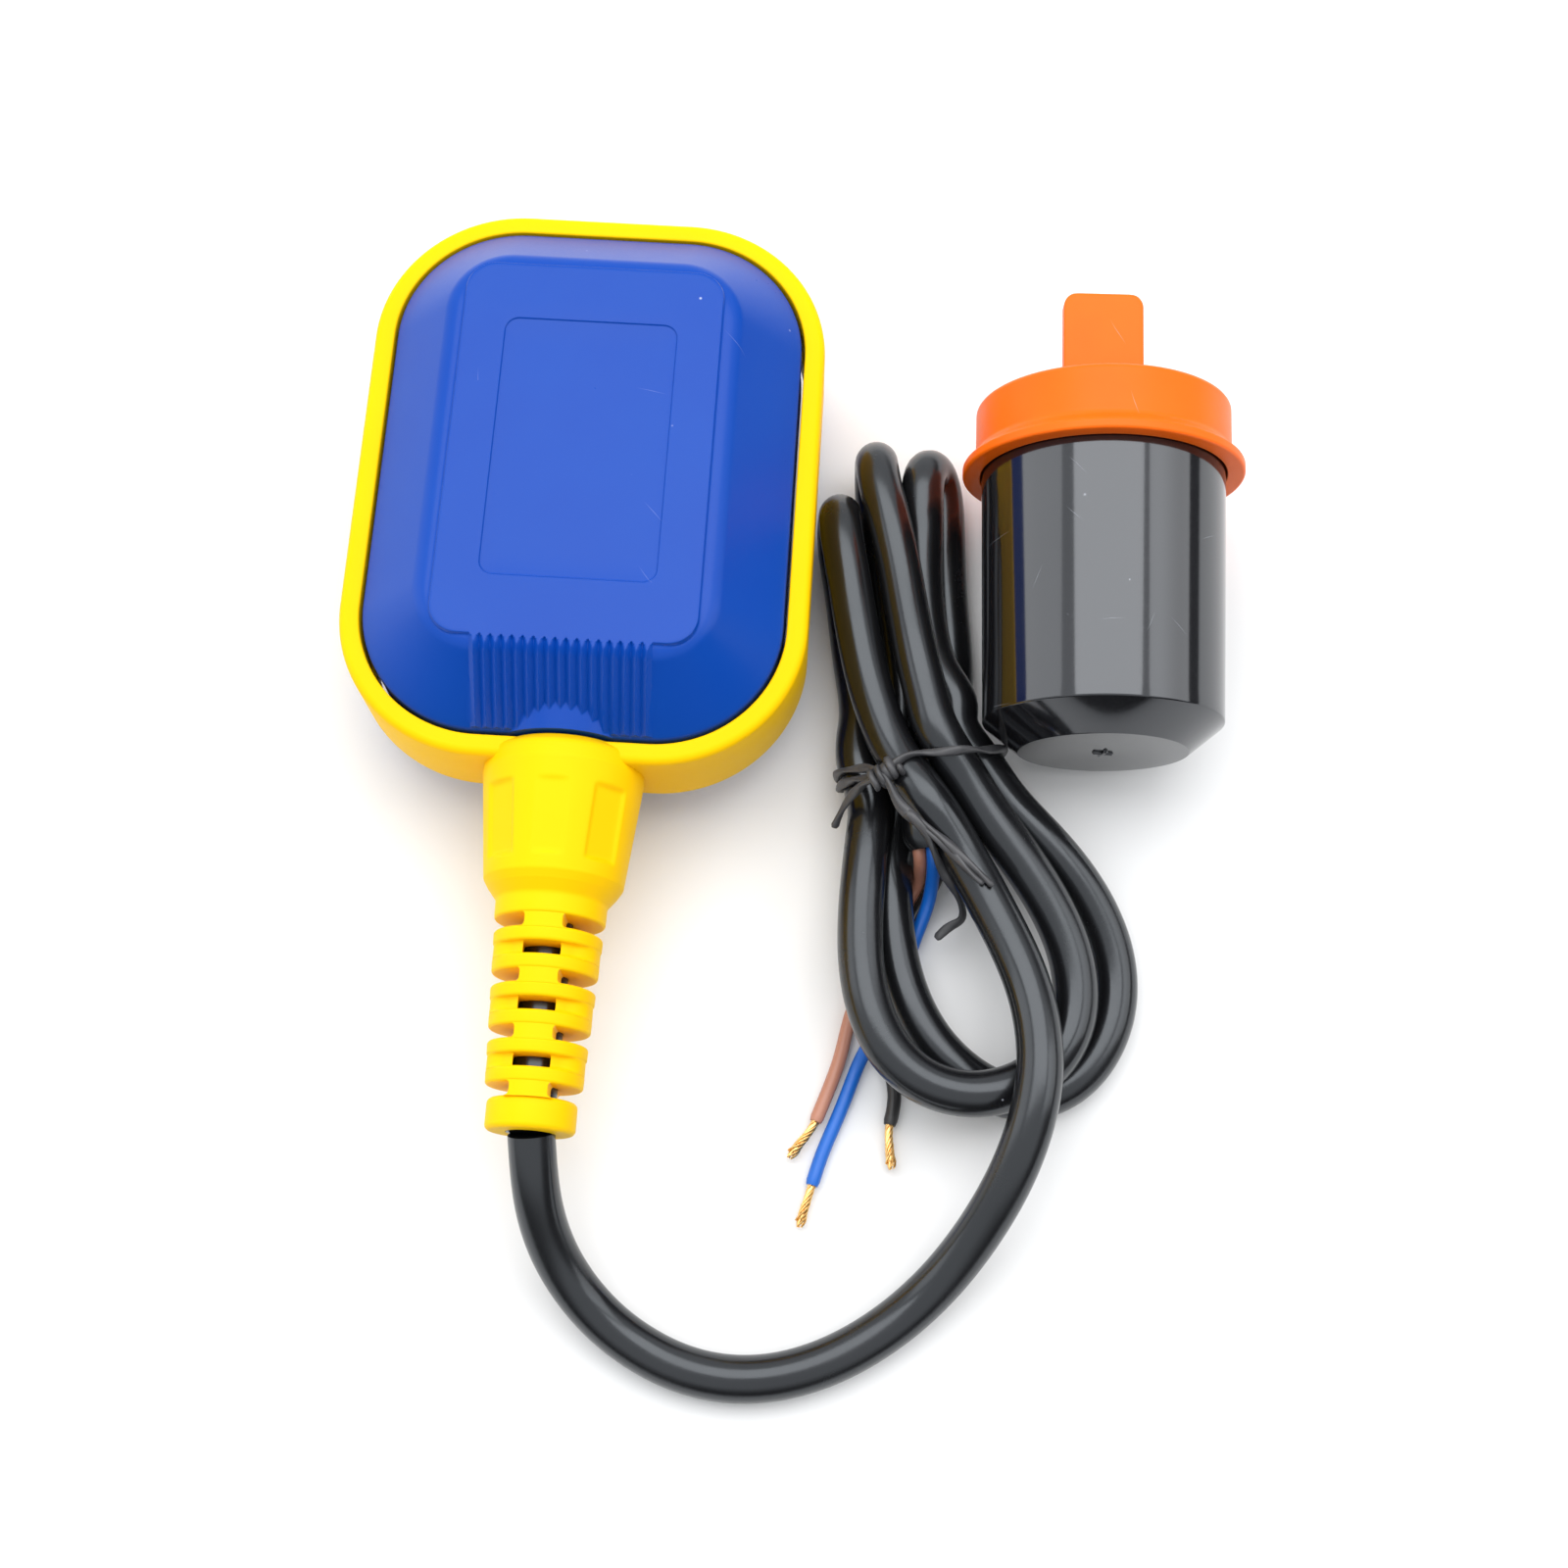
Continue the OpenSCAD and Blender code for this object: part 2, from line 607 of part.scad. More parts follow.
module plunger() {
    color("crimson") translate([plunger_x, switch_y + cover_t + (switch_t - cover_t) / 2, 0]) {
        translate([0, 0, plunger_top - 6]) cylinder(r = plunger_r, h = 6);
        translate([0, 0, blade_z + blade_t + fit_gap]) cylinder(r = 0.5, h = plunger_top - 6 - blade_z);
    }
}

strip_y = switch_y + cover_t + 1.2;
blade_y = switch_y + cover_t + (switch_t - cover_t) / 2;
module contact_blade() {
    w = strip_w - 0.6;
    color("gold") {
        translate([blade_x, blade_y - w / 2, blade_z]) cube([blade_tip - blade_x, w, blade_t]);
        translate([blade_x, blade_y + w / 2, blade_z + pivot_r]) rotate([90, 0, 0])
            cylinder(r = pivot_r, h = w);
        translate([contact_x, blade_y, blade_z - contact_t])
            cylinder(r = contact_r, h = 2 * contact_t + blade_t);
    }
}

// A terminal strip: an upright inside the case and a tab that runs out under the cover.
tab_h = 2.4;
tab_out = 5.5;
module terminal_strip(x, z_end) {
    z0 = switch_bottom - 0.2 - tab_h;
    translate([x - strip_t / 2, 0, 0]) rotate([90, 0, 90]) linear_extrude(height = strip_t)
        polygon([[strip_y, z_end], [strip_y, z0 + tab_h], [switch_y - tab_out, z0 + tab_h],
            [switch_y - tab_out, z0],
            [strip_y + strip_w, z0], [strip_y + strip_w, z_end]]);
}
module common_terminal() {
    color("goldenrod") terminal_strip(strip_xs[0], blade_z - strip_t * sin(blade_swing) - 2 * fit_gap);
}
module open_terminal() {
    z = blade_z - contact_t - contact_drop - 4 * fit_gap - contact_t;
    color("goldenrod") {
        terminal_strip(strip_xs[1], z);
        translate([strip_xs[1] - strip_t / 2, strip_y, z - strip_t])
            cube([contact_x + contact_r - strip_xs[1] + strip_t / 2, strip_w, strip_t]);
        translate([contact_x, blade_y, z - eps]) cylinder(r = contact_r, h = contact_t + eps);
    }
}
module closed_terminal() {
    z = blade_z + blade_t + contact_t + fit_gap + contact_t;
    color("goldenrod") {
        terminal_strip(strip_xs[2], z + strip_t);
        translate([contact_x - contact_r, strip_y, z])
            cube([strip_xs[2] + strip_t / 2 - contact_x + contact_r, strip_w, strip_t]);
        translate([contact_x, blade_y, z - contact_t]) cylinder(r = contact_r, h = contact_t + eps);
    }
}

module switch_screws() {
    shank = switch_t + bracket_t - 0.2;
    color("silver") for (s = [-1, 1])
        translate([s * switch_hole_x / 2, switch_y, switch_mid + s * switch_hole_z / 2]) {
            rotate([-90, 0, 0]) cylinder(r = screw_r, h = shank);
            difference() {
                rotate([90, 0, 0]) cylinder(r = screw_head_r, h = 1.4);
                translate([-0.3, -3, -screw_head_r * 0.7]) cube([0.6, 2.2, screw_head_r * 1.4]);
            }
        }
}

module cable_seal() {
    color("black") translate([0, seal_start, mid_z]) rotate([90, 0, 0]) difference() {
        cylinder(r = seal_r, h = seal_l);
        translate([0, 0, -1]) cylinder(r = bore_r, h = seal_l + 2);
    }
}

module cable_clamp() {
    color("dimgray") translate([0, saddle_y, mid_z + clamp_slit]) difference() {
        translate([-saddle_w / 2, 0, 0]) cube([saddle_w, saddle_l, clamp_h]);
        translate([0, -1, -clamp_slit]) rotate([-90, 0, 0]) cylinder(r = bore_r, h = saddle_l + 2);
        for (x = [-clamp_screw_x, clamp_screw_x])
            translate([x, saddle_l / 2, -1]) cylinder(r = screw_r + fit_gap, h = clamp_h + 2);
    }
}

module clamp_screws() {
    color("silver") for (x = [-clamp_screw_x, clamp_screw_x])
        translate([x, saddle_y + saddle_l / 2, mid_z]) {
            translate([0, 0, -clamp_screw_l + 0.5])
                cylinder(r = screw_r, h = clamp_screw_l + clamp_slit + clamp_h);
            translate([0, 0, clamp_slit + clamp_h]) difference() {
                cylinder(r = clamp_head_r, h = clamp_head_h);
                translate([-clamp_head_r * 0.85, -clamp_head_h / 5, clamp_head_h / 2])
                    cube([clamp_head_r * 1.7, clamp_head_h / 2.5, clamp_head_h]);
            }
        }
}

// Cords: a tube with n sides carried along a smooth curve through chosen points.
function smooth_point(p, i, t) = let (a = p[max(i - 1, 0)], b = p[i], c = p[i + 1], d = p[min(i + 2,
    len(p) - 1)])
    0.5 * (2 * b + (c - a) * t + (2 * a - 5 * b + 4 * c - d) * t * t + (3 * b - a - 3 * c + d) * t * t * t);
function smooth_path(p, steps) = concat(
    [for (i = [0:len(p) - 2], s = [0:steps - 1]) smooth_point(p, i, s / steps)], [p[len(p) - 1]]);
function unit(v) = v / norm(v);
function side_axis(t) = norm([t[0], t[1]]) < 0.2 ? [1, 0, 0] : unit(cross([0, 0, 1], t));
module tube_along(points, r, n, steps) {
    path = smooth_path(points, steps);
    last = len(path) - 1;
    rings = [for (i = [0:last]) let (t = unit(path[min(i + 1, last)] - path[max(i - 1, 0)]),
        u = side_axis(t),
        v = cross(t, u)) for (k = [0:n - 1]) path[i] + r * (cos(360 * k / n) * u + sin(360 * k / n) * v)];
    walls = [for (i = [0:last - 1], k = [0:n - 1]) let (j = (k + 1) % n)
        [i * n + k, i * n + j, (i + 1) * n + j, (i + 1) * n + k]];
    ends = [[for (k = [0:n - 1]) n - 1 - k], [for (k = [0:n - 1]) last * n + k]];
    polyhedron(rings, concat([for (w = walls) [w[3], w[2], w[1], w[0]]],
        [for (e = ends) [for (k = [n - 1:-1:0]) e[k]]]), convexity = 6);
}

// Gap between one length of a cord and the next
cord_gap = 0.25;
jacket_end = saddle_y + saddle_l + 1;
inner_offsets = [[-2, 0, 1], [0, 0, -2], [2, 0, 1]];
module inner_core(i, tint) {
    x = core_xs[i];
    start = [inner_offsets[i][0], jacket_end + cord_gap, mid_z + inner_offsets[i][2]];
    color(tint) {
        tube_along([start, start + [0, 2, 0], [(x + start[0]) / 2, jacket_end + 4, (mid_z + core_z) / 2],
            [x, capsule_back - 2, core_z + 0.4], [x, capsule_back, core_z],
            [x, capsule_back + 2.5, core_z]], core_d / 2, 8, 2);
        translate([x, capsule_back + 2.4, core_z]) rotate([-90, 0, 0])
            cylinder(r = core_d / 2, h = switch_y - capsule_back - 3);
    }
}
module inner_core_brown() { inner_core(0, "sienna"); }
module inner_core_blue() { inner_core(1, "blue"); }
module inner_core_black() { inner_core(2, "black"); }

module cable_in_gland() {
    color("black") translate([0, jacket_end - 0.05, mid_z]) rotate([90, 0, 0])
        cylinder(r = cable_r, h = jacket_end - 0.05 - cord_exit);
}

// The lead's points are measured from the end collar, and its free part moves out with the hank.
LEAD = [[0, -3.5, -0.1], [0.8, -7, -1.9], [1.5, -10.5, -4.6], [2.5, -14, -7.6], [4, -17.5, -10.7],
    [6, -21, -13.2], [9.5, -25, -15.2], [18, -32, -17], [30, -36, -17.1], [43, -35.5, -17.1],
    [58, -28, -17], [67, -19.5, -15.8], [72, -14, -13], [77, -5, -8], [80.5, 1.5, -4]];
module cable_lead() {
    color("black") tube_along(concat([[0, cord_exit - cord_gap, mid_z]],
        [for (q = LEAD) [q[0] * (1 + hank_shift / 80), cord_exit + q[1], mid_z + q[2]]]), cable_r, 10, 2);
}

// The hank lies hank_gap beside the ring. Its outline is measured from the ring's side plus that gap.
hank_gap = 1.5;
hank_shift = float_w / 2 - 40;
hank_x = float_w / 2 + hank_gap;
HANK = [[39.5, -109], [30, -106.5], [19, -102.5], [11, -94], [7, -84], [5.5, -72], [4.5, -58], [5, -46],
    [3.5, -32], [1.5, -14], [0, 2], [1, 12], [7, 17], [11, 23], [19, 24], [23.5, 17], [24.5, 4],
    [26.5, -16], [29, -36], [35, -46], [49, -55.5], [57.5, -68], [60, -82], [56.5, -95], [48, -104.5]];
module cable_hank() {
    n = len(HANK);
    ring = [for (i = [0:n - 1], s = [0:2]) smooth_point([HANK[(i + n - 1) % n], HANK[i], HANK[(i + 1) % n],
        HANK[(i + 2) % n]], 1, s / 3)];
    color("black") translate([hank_x, 0, 0]) linear_extrude(height = hank_h) polygon(ring);
}

CORE_BROWN = [[9.2, -92, 1.5], [8.1, -93, 1.5], [7.2, -96, 1.5], [4.6, -105.2, 1.5]];
CORE_BLUE = [[12.4, -96.7, 1.5], [11.4, -98, 1.5], [8.9, -104, 1.5], [4.7, -115.6, 1.5]];
CORE_BLACK = [[17.4, -102.3, 1.5], [17, -103, 1.5], [16.9, -104, 1.5], [16.9, -105, 1.5]];
function tail(p, l) = let (n = len(p), d = unit(p[n - 1] - p[n - 2])) [p[n - 1], p[n - 1] + d * l];
strand_l = 7.5;
module core_end(p, tint) { color(tint) translate([hank_x, 0, 0]) tube_along(p, core_d / 2, 8, 3); }
module strands(p) { color("peru") translate([hank_x, 0, 0]) tube_along(tail(p, strand_l), strand_d / 2,
    8, 1); }
module core_brown() { core_end(CORE_BROWN, "sienna"); }
module core_blue() { core_end(CORE_BLUE, "blue"); }
module core_black() { core_end(CORE_BLACK, "black"); }
module strands_brown() { strands(CORE_BROWN); }
module strands_blue() { strands(CORE_BLUE); }
module strands_black() { strands(CORE_BLACK); }

TIE = [[4.2, -46.4, 14], [5, -46, 19], [9, -45, 21], [16, -43.4, 21.2], [23, -41.6, 21],
    [29, -40, 19.5], [30.6, -39.4, 15]];
module wire_tie() {
    color("dimgray") translate([hank_x, 0, 0]) tube_along(TIE, tie_d / 2, 8, 2);
}

// The counterweight lies on its flange and its closed end, with its axis along Y.
weight_from_float = 51.5;
weight_start = -41.5;
weight_gap = 0.1;
cap_r = weight_r + weight_gap + cap_wall;
flange_r = cap_r + flange_out;
mouth = weight_l - 1;
weight_lean = asin((flange_r - weight_end_r) / (mouth - cap_l + cap_end - chamfer_l));
module weight_frame() {
    translate([float_w / 2 + weight_from_float, weight_start,
        weight_end_r / cos(weight_lean) + chamfer_l * -tan(weight_lean)])
        rotate([-90 + weight_lean, 0, 1.7]) children();
}
module weight_case() {
    color("black") weight_frame() rotate_extrude() polygon([[0, 0], [end_face_r, 0],
        [weight_end_r, chamfer_l],
        [weight_r, weight_l], [weight_r - weight_wall, weight_l],
            [weight_end_r - weight_wall, chamfer_l + weight_wall / 2],
        [end_face_r - 1, weight_wall], [0, weight_wall]]);
}
module weight_slug() {
    r = weight_end_r - weight_wall - 0.1;
    color("gray") weight_frame() translate([0, 0, chamfer_l + weight_wall / 2]) cylinder(r = r, h = slug_l);
}
module weight_cap() {
    inner = weight_r + weight_gap;
    z0 = weight_l + weight_gap + cap_end - cap_l;
    z1 = z0 + cap_l;
    color("darkorange") weight_frame() {
        rotate_extrude() polygon([[0, z1 - cap_end], [inner, z1 - cap_end], [inner, z0],
            [flange_r - 0.6, z0],
            [flange_r, z0 + 0.6], [flange_r, z0 + flange_t - 0.8], [flange_r - 0.8, z0 + flange_t],
            [cap_r + 0.5, z0 + flange_t], [cap_r, z0 + flange_t + 0.5], [cap_r, z1 - 1.6],
                [cap_r - 0.5, z1 - 0.5],
            [cap_r - 1.6, z1], [0, z1]]);
        translate([0, 0, z1 - 1]) rotate([90, 0, 0]) translate([0, 0, -tab_t / 2])
            linear_extrude(height = tab_t) {
            translate([-tab_w / 2, 0]) square([tab_w, tab_l - 1]);
            translate([-tab_w / 2 + 2, 0]) square([tab_w - 4, tab_l + 1]);
            for (x = [-1, 1]) translate([x * (tab_w / 2 - 2), tab_l - 1]) circle(2);
        }
    }
}

upper_shell();
lower_shell();
ring_and_strain_relief();
capsule_base();
capsule_lid();
lid_screws();
steel_ball();
lever();
lever_pin();
switch_case();
switch_cover();
plunger();
contact_blade();
common_terminal();
open_terminal();
closed_terminal();
switch_screws();
cable_seal();
cable_clamp();
clamp_screws();
inner_core_brown();
inner_core_blue();
inner_core_black();
cable_in_gland();
cable_lead();
cable_hank();
core_brown();
core_blue();
core_black();
strands_brown();
strands_blue();
strands_black();
wire_tie();
weight_case();
weight_slug();
weight_cap();
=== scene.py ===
import bpy
import numpy as np
from mathutils import Matrix


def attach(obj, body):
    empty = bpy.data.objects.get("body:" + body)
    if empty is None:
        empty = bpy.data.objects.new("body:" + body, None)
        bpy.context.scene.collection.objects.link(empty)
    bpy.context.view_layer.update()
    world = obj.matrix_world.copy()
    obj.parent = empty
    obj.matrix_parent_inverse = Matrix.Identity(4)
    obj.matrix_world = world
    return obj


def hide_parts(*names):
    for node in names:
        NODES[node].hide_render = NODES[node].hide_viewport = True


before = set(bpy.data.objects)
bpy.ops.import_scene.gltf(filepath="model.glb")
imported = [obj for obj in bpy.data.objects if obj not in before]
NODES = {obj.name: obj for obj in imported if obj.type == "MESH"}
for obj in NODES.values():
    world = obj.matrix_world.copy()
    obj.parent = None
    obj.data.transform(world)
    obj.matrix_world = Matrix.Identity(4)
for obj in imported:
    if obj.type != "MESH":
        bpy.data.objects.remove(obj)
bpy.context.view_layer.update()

# Cable float switch with its counterweight. Shapes are worked out in millimetres and stored in metres.
MM = 0.001


# ---- Camera: the photograph's own view ----
def place_camera():
    """Puts the camera where the photograph was taken from: right, up and look are its axes in the row frame."""
    camera = bpy.data.objects.new("view_camera", bpy.data.cameras.new("view_camera"))
    bpy.context.scene.collection.objects.link(camera)
    right = (0.99808486, 0.06175685, -0.00356295)
    up = (-0.05793876, 0.95345162, 0.29592753)
    look = (-0.02167265, 0.29515435, -0.95520375)
    place = (0.04521, -0.156327, 0.363164)
    camera.matrix_world = Matrix([(right[i], up[i], -look[i], place[i]) for i in range(3)] + [(0, 0, 0, 1)])
    camera.data.sensor_width = 36
    camera.data.lens = 48.368
    camera.data.clip_start = 0.01
    bpy.context.scene.camera = camera


# ---- Lines and surfaces ----
def unit(vectors):
    """Each vector divided by its length."""
    return vectors / np.linalg.norm(vectors, axis=-1, keepdims=True)


def distances(line):
    """Distance of each point of a line from its first point, measured along the line."""
    return np.concatenate([[0], np.cumsum(np.linalg.norm(np.diff(line, axis=0), axis=1))])


def smooth_line(points, step):
    """Natural cubic spline through the points, with their chord lengths as its parameter, at even steps."""
    p = np.asarray(points, float)
    t = distances(p)
    h, n = np.diff(t), len(p)
    inner = np.arange(1, n - 1)
    system = np.eye(n)
    system[inner, inner - 1] = h[:-1]
    system[inner, inner] = 2 * (h[:-1] + h[1:])
    system[inner, inner + 1] = h[1:]
    known = np.zeros((n, 3))
    known[1:-1] = 6 * np.diff(np.diff(p, axis=0) / h[:, None], axis=0)
    m = np.linalg.solve(system, known)
    x = np.linspace(0, t[-1], 6000)
    k = np.clip(np.searchsorted(t, x, side="right") - 1, 0, n - 2)
    u, g = (x - t[k])[:, None], h[k][:, None]
    fine = ((m[k] * (g - u) ** 3 + m[k + 1] * u ** 3) / (6 * g)
            + (p[k] / g - m[k] * g / 6) * (g - u) + (p[k + 1] / g - m[k + 1] * g / 6) * u)
    run = distances(fine)
    even = np.linspace(0, run[-1], max(int(run[-1] / step), 4) + 1)
    return np.stack([np.interp(even, run, fine[:, axis]) for axis in range(3)], 1)


def frames_along(line):
    """Two sideways axes at each point of a line. Any pair square to the line is turned back by the
    summed angle that each step adds, so the axes turn as little as the line allows."""
    ahead = unit(np.gradient(line, axis=0))
    aid = np.where(np.abs(ahead[:, 2:]) < 0.9, [[0, 0, 1.0]], [[1.0, 0, 0]])
    side = unit(np.cross(aid, ahead))
    over = np.cross(ahead, side)
    a, b = ahead[:-1], ahead[1:]
    v, c = np.cross(a, b), np.sum(a * b, 1, keepdims=True)
    moved = side[:-1] * c + np.cross(v, side[:-1]) + v * np.sum(v * side[:-1], 1, keepdims=True) / (1 + c)
    turn = np.arctan2(np.sum(moved * over[1:], 1), np.sum(moved * side[1:], 1))
    angle = np.concatenate([[0], np.cumsum(turn)])[:, None]
    return side * np.cos(angle) + over * np.sin(angle), over * np.cos(angle) - side * np.sin(angle)


def tube(line, radius, sides, flat=1.0, turn=0.0):
    """A circle carried along a line. flat squeezes its second axis, and turn twists it as it goes."""
    side, over = frames_along(line)
    turn = np.broadcast_to(turn, len(line))[:, None]
    side, over = side * np.cos(turn) + over * np.sin(turn), over * np.cos(turn) - side * np.sin(turn)
    angle = (np.arange(sides) * 2 * np.pi / sides)[None, :, None]
    radius = np.broadcast_to(radius, len(line))[:, None, None]
    return line[:, None] + radius * (np.cos(angle) * side[:, None] + flat * np.sin(angle) * over[:, None])


def blunt(line, radius, edge):
    """Radius along a line that falls off to the rounded ends of a cord, as a quarter circle of size edge."""
    run = distances(line)
    near = np.clip(np.minimum(run, run[-1] - run) / edge, 0, 1)
    return radius - edge * (1 - np.sqrt(1 - (1 - near) ** 2))


def turned(profile, axis_line, sides):
    """A profile of (radius, distance) pairs turned round an axis given by its start, direction and first side."""
    start, along, side = [np.asarray(v, float) for v in axis_line]
    over = np.cross(along, side)
    profile = np.asarray(profile, float)
    angle = (np.arange(sides) * 2 * np.pi / sides)[None, :, None]
    out = np.cos(angle) * side + np.sin(angle) * over
    return start + profile[:, 1, None, None] * along + profile[:, 0, None, None] * out


def rounded(corners, steps=5):
    """A profile whose corners (x, y, r) are replaced by arcs of radius r between their two sides."""
    c = np.asarray(corners, float)
    p, r = c[:, :2], c[:, 2]
    before = unit(np.roll(p, 1, 0)[1:-1] - p[1:-1])
    after = unit(np.roll(p, -1, 0)[1:-1] - p[1:-1])
    half = np.arccos(np.clip(np.sum(before * after, 1), -1, 1)) / 2
    reach = (r[1:-1] / np.tan(half))[:, None]
    centre = p[1:-1] + unit(before + after) * (r[1:-1] / np.sin(half))[:, None]
    a = p[1:-1] + before * reach - centre
    b = p[1:-1] + after * reach - centre
    w = np.linspace(0, 1, steps)[None, :, None]
    arc = unit(a[:, None] * (1 - w) + b[:, None] * w + 1e-12) * r[1:-1, None, None] + centre[:, None]
    return np.concatenate([p[:1], arc.reshape(-1, 2), p[-1:]])


def sheet(points, around=True, loop=False, caps=True):
    """Quads over a grid of points, closed round its second index, and round its first where loop says so.
    Its open ends are closed with a fan to their middle. Faces are turned so that the volume is positive."""
    p = np.asarray(points, float)
    n, m = p.shape[:2]
    i, j = np.arange(n if loop else n - 1)[:, None], np.arange(m if around else m - 1)[None, :]
    i2, j2 = (i + 1) % n, (j + 1) % m
    quads = np.stack(np.broadcast_arrays(i * m + j, i * m + j2, i2 * m + j2, i2 * m + j), -1).reshape(-1, 4)
    along = np.concatenate([[0], np.cumsum(np.linalg.norm(np.diff(p, axis=0), axis=2).mean(1))])
    along = np.append(along, along[-1] + np.linalg.norm(p[0] - p[-1], axis=1).mean())
    across = np.linalg.norm(np.diff(p, axis=1), axis=2).mean()
    corner = [np.stack(np.broadcast_arrays(along[i + a], (j + b) * across), -1).reshape(-1, 2)
              for a, b in ((0, 0), (0, 1), (1, 1), (1, 0))]
    uv_quads = np.stack(corner, 1)
    p = p.reshape(-1, 3)
    tris, uv_tris = np.zeros((0, 3), int), np.zeros((0, 3, 2))
    if caps and around and not loop:
        k = np.arange(m)
        k2 = (k + 1) % m
        first = np.stack([np.full(m, n * m), k2, k], 1)
        last = np.stack([np.full(m, n * m + 1), (n - 1) * m + k, (n - 1) * m + k2], 1)
        tris = np.concatenate([first, last])
        uv_tris = np.zeros((2 * m, 3, 2))
        uv_tris[m:, :, 0] = along[n - 1]
        p = np.concatenate([p, p[:m].mean(0)[None], p[(n - 1) * m:n * m].mean(0)[None]])
    faces = np.concatenate([quads[:, [0, 1, 2]], quads[:, [0, 2, 3]], tris])
    a, b, c = (p[faces[:, k]] for k in range(3))
    if np.sum(np.cross(a, b) * c) < 0:
        quads, tris, uv_quads, uv_tris = quads[:, ::-1], tris[:, ::-1], uv_quads[:, ::-1], uv_tris[:, ::-1]
    return p, quads, tris, uv_quads, uv_tris


def piece(name, sheets, finish, replaces=(), sharp=40):
    """One object from several sheets: joins their points and faces, stores them in metres and rides on the root."""
    offsets = np.cumsum([0] + [len(s[0]) for s in sheets])[:-1]
    points = np.concatenate([s[0] for s in sheets]) * MM
    quads = np.concatenate([s[1] + o for s, o in zip(sheets, offsets)])
    tris = np.concatenate([s[2] + o for s, o in zip(sheets, offsets)])
    uv = np.concatenate([np.concatenate([s[3].reshape(-1, 2) for s in sheets]),
                         np.concatenate([s[4].reshape(-1, 2) for s in sheets])]) * MM
    mesh = bpy.data.meshes.new(name)
    mesh.from_pydata(points.tolist(), [], quads.tolist() + tris.tolist())
    mesh.uv_layers.new(name="UVMap").data.foreach_set("uv", uv.astype(np.float32).ravel())
    mesh.polygons.foreach_set("use_smooth", np.ones(len(mesh.polygons), bool))
    mesh.set_sharp_from_angle(angle=np.radians(sharp))
    mesh.validate()
    mesh.materials.append(finish)
    made = bpy.data.objects.new(name, mesh)
    bpy.context.scene.collection.objects.link(made)
    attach(made, "root")
    if replaces:
        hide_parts(*replaces)
    return made


# ---- Shader node groups that several finishes share ----
def node(tree, kind, inputs=None, **settings):
    """Adds a node, sets its properties, and sets or links its inputs."""
    made = tree.nodes.new(kind)
    for key, value in settings.items():
        setattr(made, key, value)
    for key, value in (inputs or {}).items():
        if isinstance(value, bpy.types.NodeSocket):
            tree.links.new(value, made.inputs[key])
        else:
            made.inputs[key].default_value = value
    return made


def maths(tree, operation, *values):
    """A Math node's output for one operation on numbers or sockets."""
    return node(tree, "ShaderNodeMath", dict(enumerate(values)), operation=operation).outputs[0]


def effect(name, inputs, outputs):
    """An empty shader node group with named inputs and outputs: (name, kind, default)."""
    group = bpy.data.node_groups.new(name, "ShaderNodeTree")
    for label, kind, default in inputs:
        socket = group.interface.new_socket(name=label, in_out="INPUT", socket_type="NodeSocket" + kind)
        if default is not None:
            socket.default_value = default
    for label, kind in outputs:
        group.interface.new_socket(name=label, in_out="OUTPUT", socket_type="NodeSocket" + kind)
    return group, group.nodes.new("NodeGroupInput").outputs, group.nodes.new("NodeGroupOutput").inputs


def make_mottle():
    """Slow drift between two close colours, as a moulding's flow leaves it."""
    group, given, out = effect("mottle", [("Vector", "Vector", None), ("Colour A", "Color", (0.5, 0.5, 0.5, 1)),
                                          ("Colour B", "Color", (0.5, 0.5, 0.5, 1)), ("Scale", "Float", 60.0),
                                          ("Contrast", "Float", 2.0)], [("Colour", "Color")])
    cloud = node(group, "ShaderNodeTexNoise", {"Vector": given["Vector"], "Scale": given["Scale"], "Detail": 3.0})
    spread = maths(group, "MULTIPLY_ADD", maths(group, "SUBTRACT", cloud.outputs["Fac"], 0.5), given["Contrast"], 0.5)
    blend = node(group, "ShaderNodeMix", {0: spread}, data_type="RGBA")
    for socket, source in ((blend.inputs[6], given["Colour A"]), (blend.inputs[7], given["Colour B"])):
        group.links.new(source, socket)
    group.links.new(blend.outputs[2], out["Colour"])
    return group


def make_skin():
    """Fine grain of a moulded or drawn surface: a height for the bump, and a roughness that varies with it."""
    group, given, out = effect("skin", [("Vector", "Vector", None), ("Grain Scale", "Float", 900.0),
                                        ("Grain Depth", "Float", 0.2), ("Roughness", "Float", 0.4),
                                        ("Roughness Swing", "Float", 0.1)],
                               [("Height", "Float"), ("Roughness", "Float")])
    grain = node(group, "ShaderNodeTexNoise", {"Vector": given["Vector"], "Scale": given["Grain Scale"], "Detail": 2.0})
    waves = node(group, "ShaderNodeTexNoise", {"Vector": given["Vector"], "Scale": 45.0, "Detail": 2.0})
    fine = maths(group, "MULTIPLY", grain.outputs["Fac"], given["Grain Depth"])
    group.links.new(maths(group, "ADD", fine, maths(group, "MULTIPLY", waves.outputs["Fac"], 0.6)), out["Height"])
    patch = maths(group, "SUBTRACT", maths(group, "ADD", waves.outputs["Fac"], grain.outputs["Fac"]), 1.0)
    group.links.new(maths(group, "MULTIPLY_ADD", patch, given["Roughness Swing"], given["Roughness"]), out["Roughness"])
    return group


